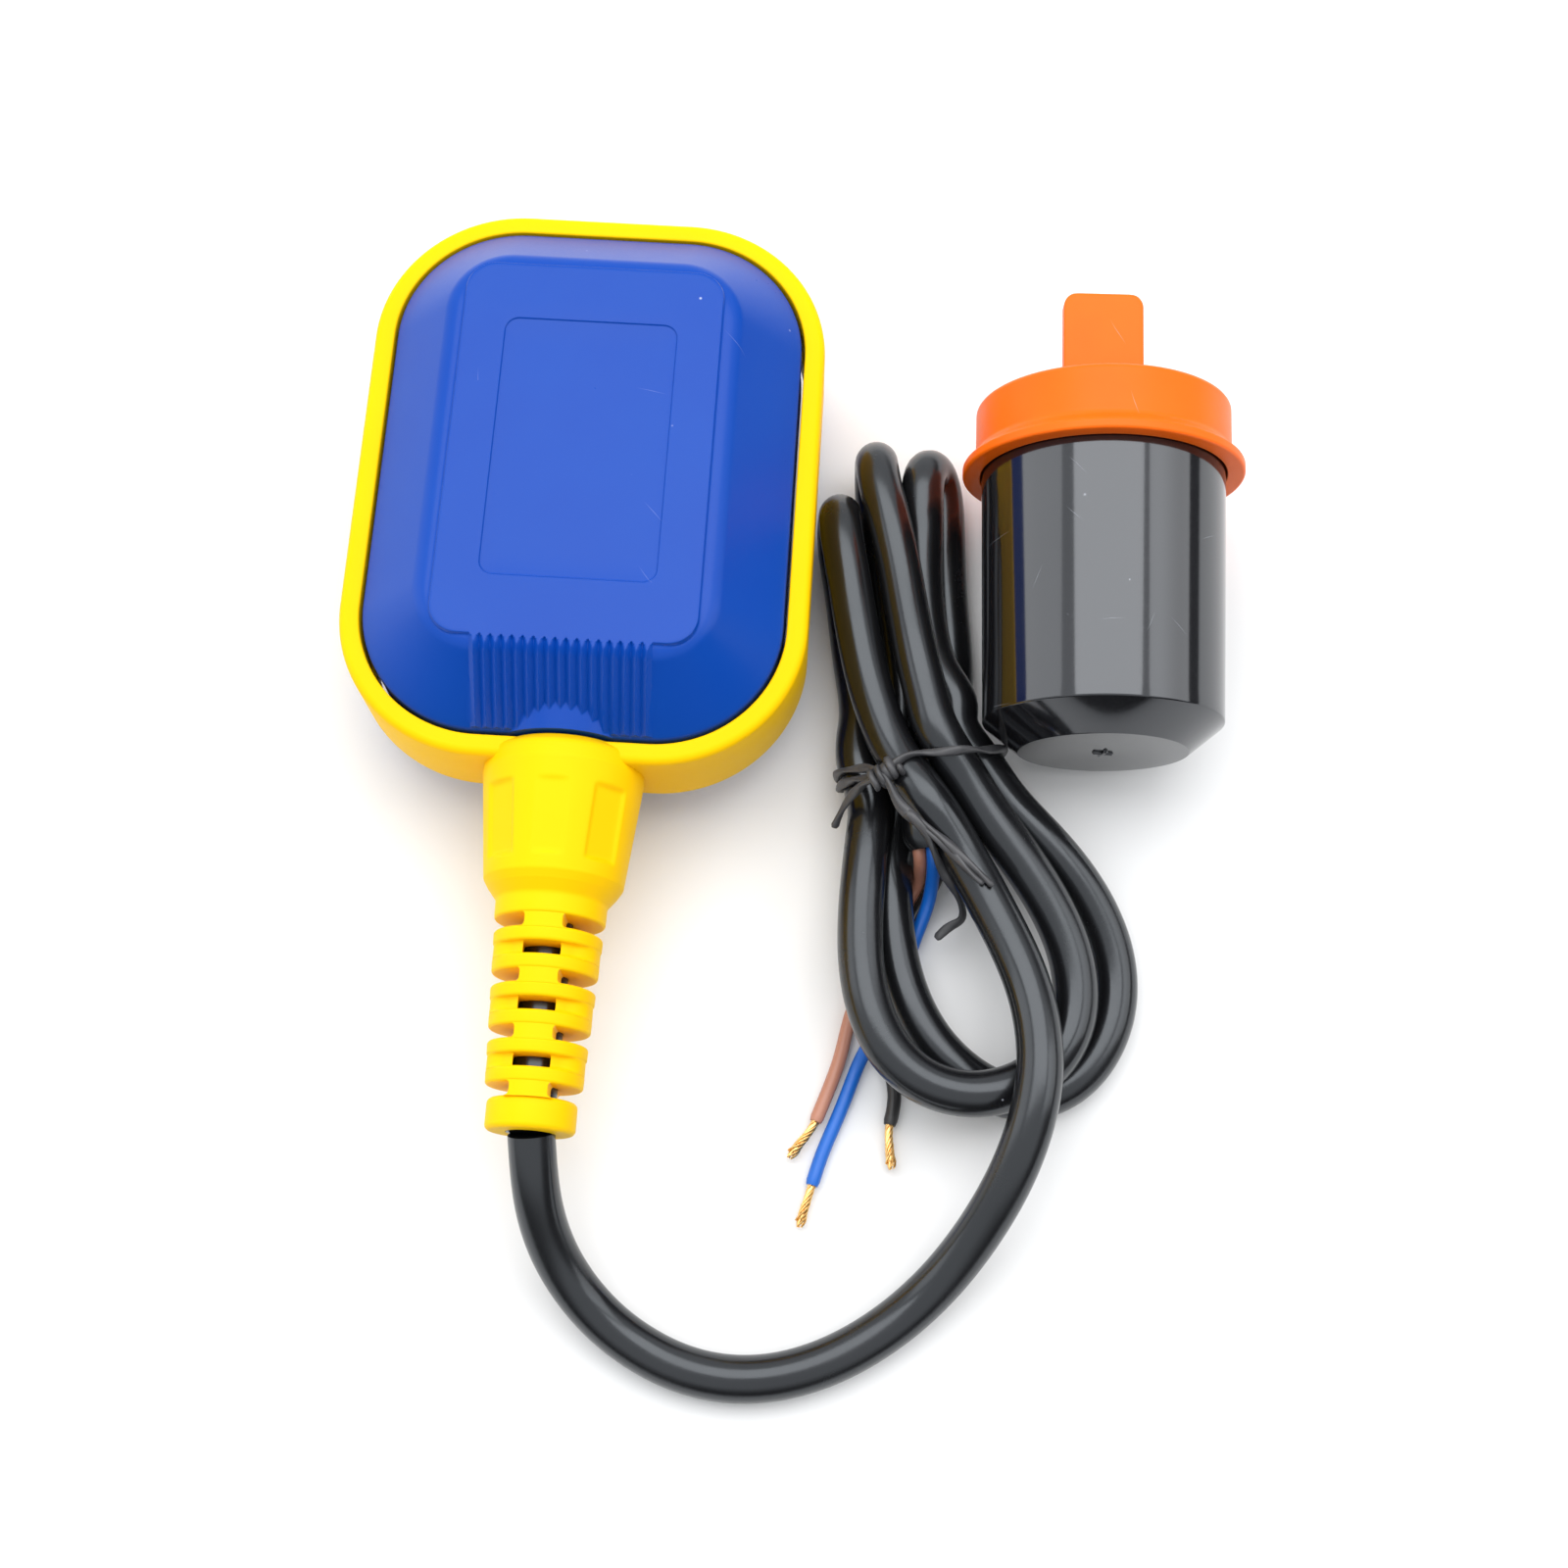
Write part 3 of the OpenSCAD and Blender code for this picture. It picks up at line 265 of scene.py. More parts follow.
def make_specks():
    """Scattered pale dust specks: a few cells of a Voronoi pattern carry a small dot each."""
    group, given, out = effect("dust_specks", [("Vector", "Vector", None), ("Scale", "Float", 180.0),
                                               ("Size", "Float", 0.12), ("Share", "Float", 0.1)], [("Mask", "Float")])
    cells = node(group, "ShaderNodeTexVoronoi", {"Vector": given["Vector"], "Scale": given["Scale"]})
    picked = node(group, "ShaderNodeSeparateColor", {"Color": cells.outputs["Color"]})
    chosen = maths(group, "LESS_THAN", picked.outputs["Red"], given["Share"])
    size = maths(group, "MULTIPLY", given["Size"], maths(group, "MULTIPLY_ADD", picked.outputs["Green"], 0.7, 0.4))
    dot = node(group, "ShaderNodeMapRange", {"Value": cells.outputs["Distance"], "From Min": size, "From Max": 0.0},
               interpolation_type="SMOOTHSTEP")
    group.links.new(maths(group, "MULTIPLY", dot.outputs["Result"], chosen), out["Mask"])
    return group


def make_scratches():
    """Sparse hairline scratches: a few cells of a Voronoi pattern carry one thin short line each, at its own angle."""
    group, given, out = effect("hairline_scratches", [("Vector", "Vector", None), ("Scale", "Float", 90.0),
                                                      ("Length", "Float", 0.24), ("Width", "Float", 0.006),
                                                      ("Share", "Float", 0.3)], [("Mask", "Float")])
    bent = node(group, "ShaderNodeTexNoise", {"Vector": given["Vector"], "Scale": 120.0, "Detail": 1.0})
    sway = node(group, "ShaderNodeVectorMath", {0: bent.outputs["Color"], 1: (0.0015, 0.0015, 0.0015)},
                operation="MULTIPLY")
    place = node(group, "ShaderNodeVectorMath", {0: given["Vector"], 1: sway.outputs[0]}, operation="ADD").outputs[0]
    cells = node(group, "ShaderNodeTexVoronoi", {"Vector": place, "Scale": given["Scale"]})
    scaled = node(group, "ShaderNodeVectorMath", {0: place, "Scale": given["Scale"]}, operation="SCALE")
    heart = node(group, "ShaderNodeVectorMath", {0: cells.outputs["Position"], "Scale": given["Scale"]},
                 operation="SCALE")
    local = node(group, "ShaderNodeVectorMath", {0: scaled.outputs[0], 1: heart.outputs[0]}, operation="SUBTRACT")
    chance = node(group, "ShaderNodeSeparateColor", {"Color": cells.outputs["Color"]})
    angle = maths(group, "MULTIPLY", chance.outputs["Red"], 3.1416)
    laid = node(group, "ShaderNodeVectorRotate", {"Vector": local.outputs[0], "Angle": angle}, rotation_type="Z_AXIS")
    parts = node(group, "ShaderNodeSeparateXYZ", {"Vector": laid.outputs[0]})
    thin = node(group, "ShaderNodeMapRange", {"Value": maths(group, "ABSOLUTE", parts.outputs["Y"]),
                                              "From Min": given["Width"], "From Max": 0.0}).outputs["Result"]
    short = node(group, "ShaderNodeMapRange", {"Value": maths(group, "ABSOLUTE", parts.outputs["X"]),
                                               "From Min": given["Length"], "From Max": 0.0}).outputs["Result"]
    chosen = maths(group, "LESS_THAN", chance.outputs["Green"], given["Share"])
    group.links.new(maths(group, "MULTIPLY", maths(group, "MULTIPLY", thin, short), chosen), out["Mask"])
    return group


def make_drawn():
    """Faint lines along an extruded or drawn piece, from its UV map: noise stretched along its length."""
    group, given, out = effect("drawn_lines", [("Vector", "Vector", None), ("Fineness", "Float", 900.0),
                                               ("Stretch", "Float", 0.02)], [("Lines", "Float"), ("Patches", "Float")])
    drawn = node(group, "ShaderNodeCombineXYZ")
    parts = node(group, "ShaderNodeSeparateXYZ", {"Vector": given["Vector"]})
    group.links.new(maths(group, "MULTIPLY", parts.outputs["X"], given["Stretch"]), drawn.inputs["X"])
    group.links.new(parts.outputs["Y"], drawn.inputs["Y"])
    lines = node(group, "ShaderNodeTexNoise", {"Vector": drawn.outputs[0], "Scale": given["Fineness"], "Detail": 3.0})
    patches = node(group, "ShaderNodeTexNoise", {"Vector": given["Vector"], "Scale": 70.0, "Detail": 3.0})
    group.links.new(lines.outputs["Fac"], out["Lines"])
    group.links.new(patches.outputs["Fac"], out["Patches"])
    return group


MOTTLE, SKIN, SPECKS = make_mottle(), make_skin(), make_specks()
SCRATCHES, DRAWN = make_scratches(), make_drawn()


def use(tree, group, **inputs):
    """Places a shared node group, with spaces written as underscores in its input names."""
    return node(tree, "ShaderNodeGroup", {k.replace("_", " "): v for k, v in inputs.items()}, node_tree=group)


def finish(name, colours, roughness, swing=0.08, metallic=0.0, grain=900.0, depth=0.15, bump=0.00004, patches=60.0,
           contrast=1.5, specks=None, speck_colour=(0.8, 0.85, 0.95, 1), scratches=None, drawn=None, **sockets):
    """One surface finish. Its colour drifts between two close ones, its grain drives roughness and bump,
    and specks, hairline scratches or drawn lines are laid over it where the real one shows them."""
    made = bpy.data.materials.new(name)
    made.use_nodes = True
    tree = made.node_tree
    shader = tree.nodes["Principled BSDF"]
    shader.inputs["Metallic"].default_value = metallic
    for key, value in sockets.items():
        shader.inputs[key.replace("_", " ")].default_value = value
    place = node(tree, "ShaderNodeTexCoord")
    vector = place.outputs["Object"]
    colour = use(tree, MOTTLE, Vector=vector, Colour_A=(*colours[0], 1), Colour_B=(*colours[1], 1), Scale=patches,
                 Contrast=contrast).outputs["Colour"]
    skin = use(tree, SKIN, Vector=vector, Grain_Scale=grain, Grain_Depth=depth, Roughness=roughness,
               Roughness_Swing=swing)
    rough, height = skin.outputs["Roughness"], skin.outputs["Height"]
    if drawn:
        lines = use(tree, DRAWN, Vector=place.outputs["UV"], Fineness=drawn[0], Stretch=drawn[1])
        height = maths(tree, "MULTIPLY_ADD", lines.outputs["Lines"], drawn[2], height)
        rough = maths(tree, "MULTIPLY_ADD", maths(tree, "SUBTRACT", lines.outputs["Patches"], 0.5), drawn[3], rough)
    if scratches:
        marks = use(tree, SCRATCHES, Vector=vector, Scale=scratches[0], Share=scratches[1]).outputs["Mask"]
        rough = maths(tree, "MULTIPLY_ADD", marks, 0.25, rough)
        pale = node(tree, "ShaderNodeMix", {0: maths(tree, "MULTIPLY", marks, scratches[2])}, data_type="RGBA")
        tree.links.new(colour, pale.inputs[6])
        pale.inputs[7].default_value = speck_colour
        colour = pale.outputs[2]
    if specks:
        dots = use(tree, SPECKS, Vector=vector, Scale=specks[0], Size=specks[1], Share=specks[2]).outputs["Mask"]
        dusty = node(tree, "ShaderNodeMix", {0: maths(tree, "MULTIPLY", dots, specks[3])}, data_type="RGBA")
        tree.links.new(colour, dusty.inputs[6])
        dusty.inputs[7].default_value = speck_colour
        colour = dusty.outputs[2]
    relief = node(tree, "ShaderNodeBump", {"Height": height, "Strength": 1.0, "Distance": bump})
    tree.links.new(colour, shader.inputs["Base Color"])
    tree.links.new(rough, shader.inputs["Roughness"])
    tree.links.new(relief.outputs["Normal"], shader.inputs["Normal"])
    return made


FINISHES = {
    "blue_shell": finish("blue_shell", [(0.001, 0.05, 0.35), (0.0015, 0.057, 0.365)], 0.3, 0.06, grain=1500.0, depth=0.03,
                         specks=(330.0, 0.13, 0.03, 0.6), scratches=(90.0, 0.1, 0.16), Specular_IOR_Level=0.2),
    "yellow_ring": finish("yellow_ring", [(0.95, 0.55, 0.001), (0.97, 0.585, 0.001)], 0.45, 0.1, grain=1200.0, depth=0.06,
                          Specular_IOR_Level=0.06),
    "white_capsule": finish("white_capsule", [(0.78, 0.78, 0.75), (0.83, 0.83, 0.8)], 0.45),
    "switch_black": finish("switch_black", [(0.03, 0.03, 0.032), (0.045, 0.045, 0.046)], 0.5, grain=1800.0),
    "plunger_red": finish("plunger_red", [(0.5, 0.02, 0.02), (0.58, 0.03, 0.03)], 0.35),
    "lever_orange": finish("lever_orange", [(0.8, 0.2, 0.02), (0.88, 0.25, 0.03)], 0.4),
    "steel": finish("steel", [(0.55, 0.55, 0.57), (0.62, 0.62, 0.64)], 0.28, 0.1, metallic=1.0, grain=2500.0),
    "brass": finish("brass", [(0.75, 0.52, 0.2), (0.82, 0.6, 0.26)], 0.3, 0.12, metallic=1.0, grain=2500.0),
    "copper": finish("copper", [(0.75, 0.42, 0.14), (0.95, 0.66, 0.26)], 0.3, 0.15, metallic=1.0, patches=900.0),
    "seal_rubber": finish("seal_rubber", [(0.02, 0.02, 0.02), (0.035, 0.035, 0.035)], 0.7),
    "cable_jacket": finish("cable_jacket", [(0.005, 0.005, 0.006), (0.009, 0.009, 0.01)], 0.23, 0.08,
                           grain=1600.0, drawn=(1400.0, 0.02, 0.25, 0.25), specks=(300.0, 0.1, 0.03, 0.5), IOR=1.6,
                           Specular_IOR_Level=0.5, Specular_Tint=(0.88, 0.94, 1.0, 1)),
    "core_brown": finish("core_brown", [(0.4, 0.17, 0.11), (0.48, 0.22, 0.15)], 0.4, drawn=(2500.0, 0.03, 0.3, 0.2)),
    "core_blue": finish("core_blue", [(0.003, 0.11, 0.5), (0.006, 0.135, 0.58)], 0.4, drawn=(2500.0, 0.03, 0.3, 0.2)),
    "core_black": finish("core_black", [(0.012, 0.012, 0.013), (0.02, 0.02, 0.021)], 0.4,
                         drawn=(2500.0, 0.03, 0.3, 0.2)),
    "tie_grey": finish("tie_grey", [(0.03, 0.03, 0.033), (0.075, 0.075, 0.08)], 0.4, 0.15, patches=300.0),
    "weight_black": finish("weight_black", [(0.005, 0.005, 0.006), (0.008, 0.008, 0.01)], 0.1, 0.05,
                           grain=1400.0, depth=0.02, bump=0.000025, specks=(260.0, 0.13, 0.06, 0.6),
                           scratches=(110.0, 0.3, 0.22), IOR=1.6, Specular_IOR_Level=0.7,
                           Specular_Tint=(0.92, 0.95, 1.0, 1)),
    "cap_orange": finish("cap_orange", [(0.9, 0.125, 0.002), (0.94, 0.15, 0.003)], 0.4, 0.08, grain=1300.0, depth=0.06,
                         scratches=(90.0, 0.2, 0.25), Specular_IOR_Level=0.18),
    "ballast": finish("ballast", [(0.14, 0.14, 0.14), (0.22, 0.21, 0.2)], 0.75, grain=700.0, depth=0.8,
                      bump=0.0002),
}

NODE_FINISH = {
    "upper_shell": "blue_shell", "lower_shell": "blue_shell", "ring_and_strain_relief": "yellow_ring",
    "capsule_base": "white_capsule", "capsule_lid": "white_capsule", "lid_screws": "steel", "steel_ball": "steel",
    "lever": "lever_orange", "lever_pin": "steel", "switch_case": "switch_black", "switch_cover": "switch_black",
    "plunger": "plunger_red", "contact_blade": "brass", "common_terminal": "brass", "open_terminal": "brass",
    "closed_terminal": "brass", "switch_screws": "steel", "cable_seal": "seal_rubber", "cable_clamp": "switch_black",
    "clamp_screws": "steel", "inner_core_brown": "core_brown", "inner_core_blue": "core_blue",
    "inner_core_black": "core_black", "cable_in_gland": "cable_jacket", "cable_lead": "cable_jacket",
    "cable_hank": "cable_jacket", "core_brown": "core_brown", "core_blue": "core_blue", "core_black": "core_black",
    "strands_brown": "copper", "strands_blue": "copper", "strands_black": "copper", "wire_tie": "tie_grey",
    "weight_case": "weight_black", "weight_slug": "ballast", "weight_cap": "cap_orange",
}


def dress_nodes():
    """Gives every CAD node the finish of its material slot."""
    for name, slot in NODE_FINISH.items():
        NODES[name].data.materials.clear()
        NODES[name].data.materials.append(FINISHES[slot])


# ---- Cable, cores and tie ----
CABLE_D = 7.8
CABLE_ROUTE = [
    (0.3, -112.2, 21), (0.98, -117.6, 18.86), (1.74, -122.07, 16.29), (2.99, -126.41, 13.16),
    (4.82, -130.35, 10.3), (7.26, -133.98, 8), (10.32, -137.39, 6.28), (13.99, -140.54, 5.12),
    (18.29, -143.32, 4.41), (23.04, -145.58, 4.07), (27.99, -147.11, 3.94), (33.03, -147.83, 3.9),
    (38.14, -147.73, 3.9), (43.26, -146.81, 3.9), (48.34, -145.1, 3.92), (53.31, -142.66, 3.97),
    (58.03, -139.62, 4.17), (62.37, -136.15, 4.69), (66.16, -132.48, 5.66), (69.5, -128.62, 7.22),
    (72.51, -124.49, 9.42), (75.27, -119.99, 12.2), (77.65, -115.3, 15.02), (79.49, -110.74, 17.16),
    (80.88, -106.13, 18.54), (81.89, -101.13, 19.23), (82.31, -96.31, 19.39), (82.09, -91.32, 18.8),
    (81.19, -85.94, 18.06), (79.59, -80.67, 17.36), (77.27, -75.3, 16.73), (74.4, -69.75, 16.22),
    (71.43, -64.5, 16.06), (68.55, -59.85, 16.45), (65.44, -55.27, 17.57), (62.54, -51.51, 18.43),
    (60.12, -48.39, 18.15), (57.39, -44.27, 16.85), (54.97, -39.7, 15.89), (52.8, -34.52, 15.4),
    (50.89, -28.83, 15.29), (49.25, -22.65, 15.34), (47.8, -16.16, 15.43), (46.42, -9.47, 15.48),
    (45.21, -3.68, 15.3), (44.54, 0.32, 14.55), (44.35, 2.59, 13.37), (44.27, 3.83, 11.77), (44.17, 4.3, 9.69),
    (44.09, 3.78, 7.6), (44.12, 2.51, 6.01), (44.39, 0.28, 4.87), (45.15, -3.63, 4.24), (46.29, -9.27, 4.26),
    (47.37, -15.86, 4.56), (48.51, -22.44, 4.96), (49.66, -28.69, 5.53), (50, -33.06, 6.26),
    (49.71, -38.21, 7.69), (50.09, -42.27, 8.71), (51.5, -46.78, 9.22), (52.41, -50.65, 9.66),
    (52.37, -55.58, 10.78), (52.02, -61.59, 11.9), (51.77, -67.73, 12.6), (51.84, -73.91, 13.04),
    (52.37, -79.71, 13.37), (53.49, -84.97, 13.62), (55.25, -89.61, 13.75), (57.62, -93.47, 13.71),
    (60.55, -96.48, 13.53), (63.96, -98.59, 13.24), (67.82, -99.78, 12.9), (72.01, -100.03, 12.59),
    (76.12, -99.32, 12.36), (80.03, -97.63, 11.86), (83.37, -95.22, 11.38), (86, -92.16, 11.28),
    (87.82, -88.53, 11.25), (88.74, -84.44, 11.33), (88.71, -79.98, 11.56), (87.75, -75.31, 11.93),
    (85.86, -70.54, 12.45), (83.12, -65.7, 13.11), (79.62, -60.72, 13.86), (75.53, -55.51, 14.63),
    (71.64, -50.48, 15.42), (68.21, -45.6, 16.44), (64.6, -40.59, 17.85), (62.7, -37.32, 18.34),
    (61.1, -32.41, 18.15), (59.36, -26.03, 17.89), (57.93, -19.95, 17.43), (56.58, -13.66, 16.91),
    (55.24, -7.35, 16.72), (53.74, -1.4, 16.82), (52.27, 4.21, 16.58), (51.05, 9.1, 15.89),
    (50.56, 12.11, 14.73), (50.39, 13.9, 13.15), (50.33, 14.79, 11.28), (50.33, 14.83, 9.31),
    (50.4, 14.03, 7.45), (50.55, 12.27, 5.81), (50.95, 9.38, 4.61), (51.89, 4.95, 4), (53.25, -1, 3.9),
    (54.37, -7.41, 3.9), (55.48, -14.07, 3.9), (56.71, -20.79, 3.9), (57.56, -26.82, 3.9), (57.71, -32.07, 3.9),
    (56.94, -37, 3.9), (56.27, -41.25, 3.9), (56.76, -44.37, 3.9), (57.91, -48.13, 3.9), (57.74, -51.84, 3.9),
    (57.02, -56.7, 4.43), (56.85, -61.96, 5.5), (57.11, -67.47, 6.16), (57.8, -73.1, 6.36),
    (59.09, -78.58, 6.39), (60.98, -83.64, 6.4), (63.45, -88.13, 6.39), (66.47, -91.93, 6.25),
    (69.9, -94.92, 5.85), (73.78, -97.18, 5.02), (77.67, -98.46, 4.29), (81.35, -98.71, 4.01),
    (84.93, -97.97, 3.96), (88.36, -96.18, 3.92), (91.4, -93.43, 3.91), (93.89, -89.8, 3.93),
    (95.6, -85.64, 3.99), (96.44, -81.14, 4.16), (96.35, -76.53, 4.5), (95.36, -71.96, 5.03),
    (93.46, -67.4, 5.81), (90.72, -62.89, 6.77), (87.24, -58.56, 7.78), (83.08, -54.28, 8.66),
    (78.47, -49.89, 9.32), (75, -46, 9.86), (71.4, -41.34, 10.7), (67.93, -37.12, 11.67),
    (66.77, -34.58, 12.07), (66.66, -31.69, 12.18), (65.58, -29.09, 11.94), (63.2, -24.86, 11.16),
    (61.66, -20.25, 10.46), (60.55, -14.76, 10.08), (59.78, -8.18, 10.09), (59.39, 0.7, 10.49),
    (59.09, 6.78, 11.46), (59.15, 11.63, 11.21), (60.06, 14.91, 9.19), (61.52, 15.2, 6.32),
    (62.79, 12.42, 4.32), (63.51, 7.03, 3.9), (64.12, -2.26, 3.9), (65.05, -11.85, 3.9), (65.82, -18.4, 3.9),
    (66.14, -24.21, 3.9), (65.81, -30.11, 3.9), (65.27, -35.39, 4.29), (64.46, -38.94, 4.84),
    (63.84, -41.03, 5.99), (63.22, -43.34, 8.57), (62.8, -45.41, 9.99), (62.27, -48.49, 10.58),
    (62.01, -52.78, 10.55), (62.73, -57.48, 9.89),
]
CORE_ROUTES = {
    "blue": [(63.4, -56, 11.2), (63.8, -58.5, 10.8), (64.07, -62.11, 7.29), (63.49, -66.24, 3.91),
             (61.59, -72.17, 2.4), (60.2, -77, 1.3), (58.52, -82.04, 1.25), (56.32, -87.64, 4.11),
             (54.6, -91, 3.4), (53.2, -93.8, 1.9), (51.6, -98.5, 1.3), (49.6, -104.4, 1.3), (47.6, -110, 1.4),
             (46.1, -115.5, 1.6)],
    "brown": [(61.1, -56.3, 10.4), (61.5, -58.5, 10), (61.91, -60.55, 6.19), (61.57, -62.47, 2.56),
              (59.66, -65.78, 1.25), (58.04, -68.89, 1.25), (56.37, -72.08, 1.25), (54, -77.5, 1.25),
              (52, -83, 1.25), (50.6, -88.7, 1.3), (49.8, -93, 1.4), (48.4, -98, 1.5), (46.1, -104.7, 1.8)],
    "black": [(62.9, -55.7, 8.8), (63.3, -58, 8.4), (65.08, -59.37, 5.03), (64.03, -63.02, 2.4),
              (61.59, -67.49, 1.25), (59.27, -72.02, 1.25), (57.2, -77.5, 1.25), (55, -83, 1.25),
              (55.2, -87, 1.25), (56.4, -91, 1.25), (58.6, -95.6, 1.25), (59.4, -100, 1.3), (58.8, -104.5, 1.5)],
}
CORE_TIPS = {"blue": (44.3, -122.6, 2.2), "brown": (41.9, -111.1, 2.0), "black": (59.4, -112, 2.2)}


def make_cable():
    """The jacket: one circle of 7.8 mm carried along the whole route, blunt at its cut end."""
    line = smooth_line(CABLE_ROUTE, 1.0)
    radius = np.full(len(line), CABLE_D / 2)
    radius[-3:] = CABLE_D / 2 - np.array([0.05, 0.35, 0.9])
    cable = piece("cable", [sheet(tube(line, radius, 28))], FINISHES["cable_jacket"],
                  ("cable_lead", "cable_hank"))
    return line


def make_cores():
    """Three insulated cores that leave the jacket's cut end, each with a twist of fine copper strands at its tip.
    Each strand is a helix round the core's end line, on one of two rings of the bundle."""
    for colour, route in CORE_ROUTES.items():
        line = smooth_line(route, 0.8)
        line[:, 2] = np.maximum(line[:, 2], 1.21)
        core = piece("core_" + colour + "_insulation", [sheet(tube(line, blunt(line, 1.2, 0.18), 16))],
                     FINISHES["core_" + colour], ("core_" + colour,))
        ahead = unit(line[-1] - line[-3])
        tip = np.array(CORE_TIPS[colour])
        middle = (line[-1] + tip) / 2 + ahead * 0.5
        bare = smooth_line([line[-1] - ahead * 1.5, line[-1], middle, tip], 0.3)
        side, over = frames_along(bare)
        share = np.linspace(0, 1, len(bare))[:, None]
        sheets = []
        for k in range(14):
            ring, count, first = (0.22, 5, 0) if k < 5 else (0.52, 9, 5)
            angle = 2 * np.pi * (k - first) / count + share * 7.0 + 0.3 * np.sin(5 * share + k)
            spread = ring * (1 + 0.5 * share ** 3 * (1 + 0.6 * np.sin(2.3 * k)))
            strand = bare + spread * (np.cos(angle) * side + 0.8 * np.sin(angle) * over)
            keep = len(bare) - int(2.5 + 2.5 * np.sin(1.7 * k))
            sheets.append(sheet(tube(strand[:keep], 0.19, 6)))
        copper = piece("copper_" + colour, sheets, FINISHES["copper"], ("strands_" + colour,))


TIE_RUNS = [
    # over the hank and down its right side
    [(53.6, -47.6, 20.3), (54.8, -47.2, 21.3), (56.7, -45.5, 21.8), (58.8, -44.1, 21.4), (61.3, -43.5, 21),
     (63.9, -43.5, 21.8), (66.5, -43.1, 22), (69.2, -42.3, 20.4), (71.5, -41.4, 17.9), (73.3, -40.5, 15.8),
     (75.1, -39.4, 12.7), (74.6, -39.3, 7.6), (72.2, -40.1, 4.6), (69.5, -40.2, 3.5)],
    # down the left side, twice
    [(54.8, -47.7, 21.2), (52.8, -46.8, 20), (50.6, -45.7, 17), (48, -45.1, 13.5), (46.3, -44.9, 9.7),
     (47.1, -44.3, 5.5), (49.6, -43.5, 3.1), (52.6, -42.8, 1.6)],
    [(54.9, -49, 20.9), (52.8, -48.3, 19.8), (50.3, -47.4, 16.5), (48.1, -47.1, 12.9), (46.9, -46.9, 9.6),
     (47.7, -46.3, 5.7), (49.9, -45.3, 3.2), (52.8, -44.2, 1.7)],
    # first free end
    [(55.4, -46.6, 21.8), (54.5, -48.3, 21.7), (52.6, -48.9, 21), (51.2, -49.2, 19.6), (50.1, -49.6, 17.4),
     (48.7, -50.6, 14.8), (47.5, -52.3, 12.4), (46.4, -54.8, 10.6)],
    # doubled end that hangs to the right
    [(53.4, -47.9, 21.6), (54.8, -49.2, 22), (56.4, -51.6, 21.8), (58.6, -54.2, 21.4), (61.9, -56.7, 21.2),
     (65.3, -59, 21.2), (68.7, -62.2, 20.9), (71.4, -64.5, 20.9), (73.5, -66.1, 20.4)],
    [(54.2, -48.6, 21.8), (55.6, -50.3, 21.6), (57.2, -53.3, 21.3), (60.2, -56.2, 21.1), (63.6, -58.4, 21),
     (66.6, -61.1, 20.7), (69.6, -64.2, 20.8), (72, -65.8, 20.5)],
    # kinked end
    [(58.6, -54.4, 21.8), (61.1, -57, 21.4), (63.1, -59.7, 19.4), (65.3, -62.9, 16), (67.8, -65.8, 12.8),
     (69.3, -68.1, 10), (69.2, -69.4, 8.8), (67.8, -70.3, 8), (65.1, -72.6, 6.8)],
]


def make_tie():
    """The coated wire tie: a flattened tube that twists as it goes round the hank, with a knot of four wraps.
    The wraps are a helix round the knot's own axis."""
    sheets = []
    for k, run in enumerate(TIE_RUNS):
        line = smooth_line(run, 0.5)
        turn = distances(line) * 0.28 + k
        sheets.append(sheet(tube(line, blunt(line, 0.85, 0.3), 12, flat=0.62, turn=turn)))
    t = np.linspace(0, 1, 90)[:, None]
    axis = unit(np.array([0.75, 0.6, 0.28]))
    side = unit(np.cross(axis, [0, 0, 1.0]))
    over = np.cross(side, axis)
    heart = np.array([54.6, -47.6, 21.2])
    angle = t * 2 * np.pi * 4.2
    wraps = heart + axis * (t - 0.5) * 5.2 + (1.35 + 0.2 * np.sin(9 * t)) * (np.cos(angle) * side
                                                                           + np.sin(angle) * over)
    sheets.append(sheet(tube(wraps, blunt(wraps, 0.8, 0.3), 12, flat=0.7)))
    piece("twisted_wire_tie", sheets, FINISHES["tie_grey"], ("wire_tie",), sharp=60)


# ---- Float shells ----
MID = 21.0
SHELL_W, SHELL_L, SHELL_R = 71.7, 94.2, 21.45
DOME_RUN, LIP, CROWN, FOOT_R, CROWN_R = 13.2, 8.5, 20.5, 1.2, 4.4
FOOT, TOP = np.array([-FOOT_R, LIP]), np.array([-DOME_RUN, CROWN - CROWN_R])
SPAN = TOP - FOOT
SLOPE_NORMAL = np.arctan2(SPAN[1], SPAN[0]) - np.arccos((FOOT_R - CROWN_R) / np.hypot(*SPAN))
CONTACT = FOOT + FOOT_R * np.array([np.cos(SLOPE_NORMAL), np.sin(SLOPE_NORMAL)])
RIB_PITCH, RIB_COUNT, RIB_H = 1.78, 17, 0.65
HOOD_R, HOOD_BACK_R = 12.4, 15.5
FRONT_HALF = 15.6


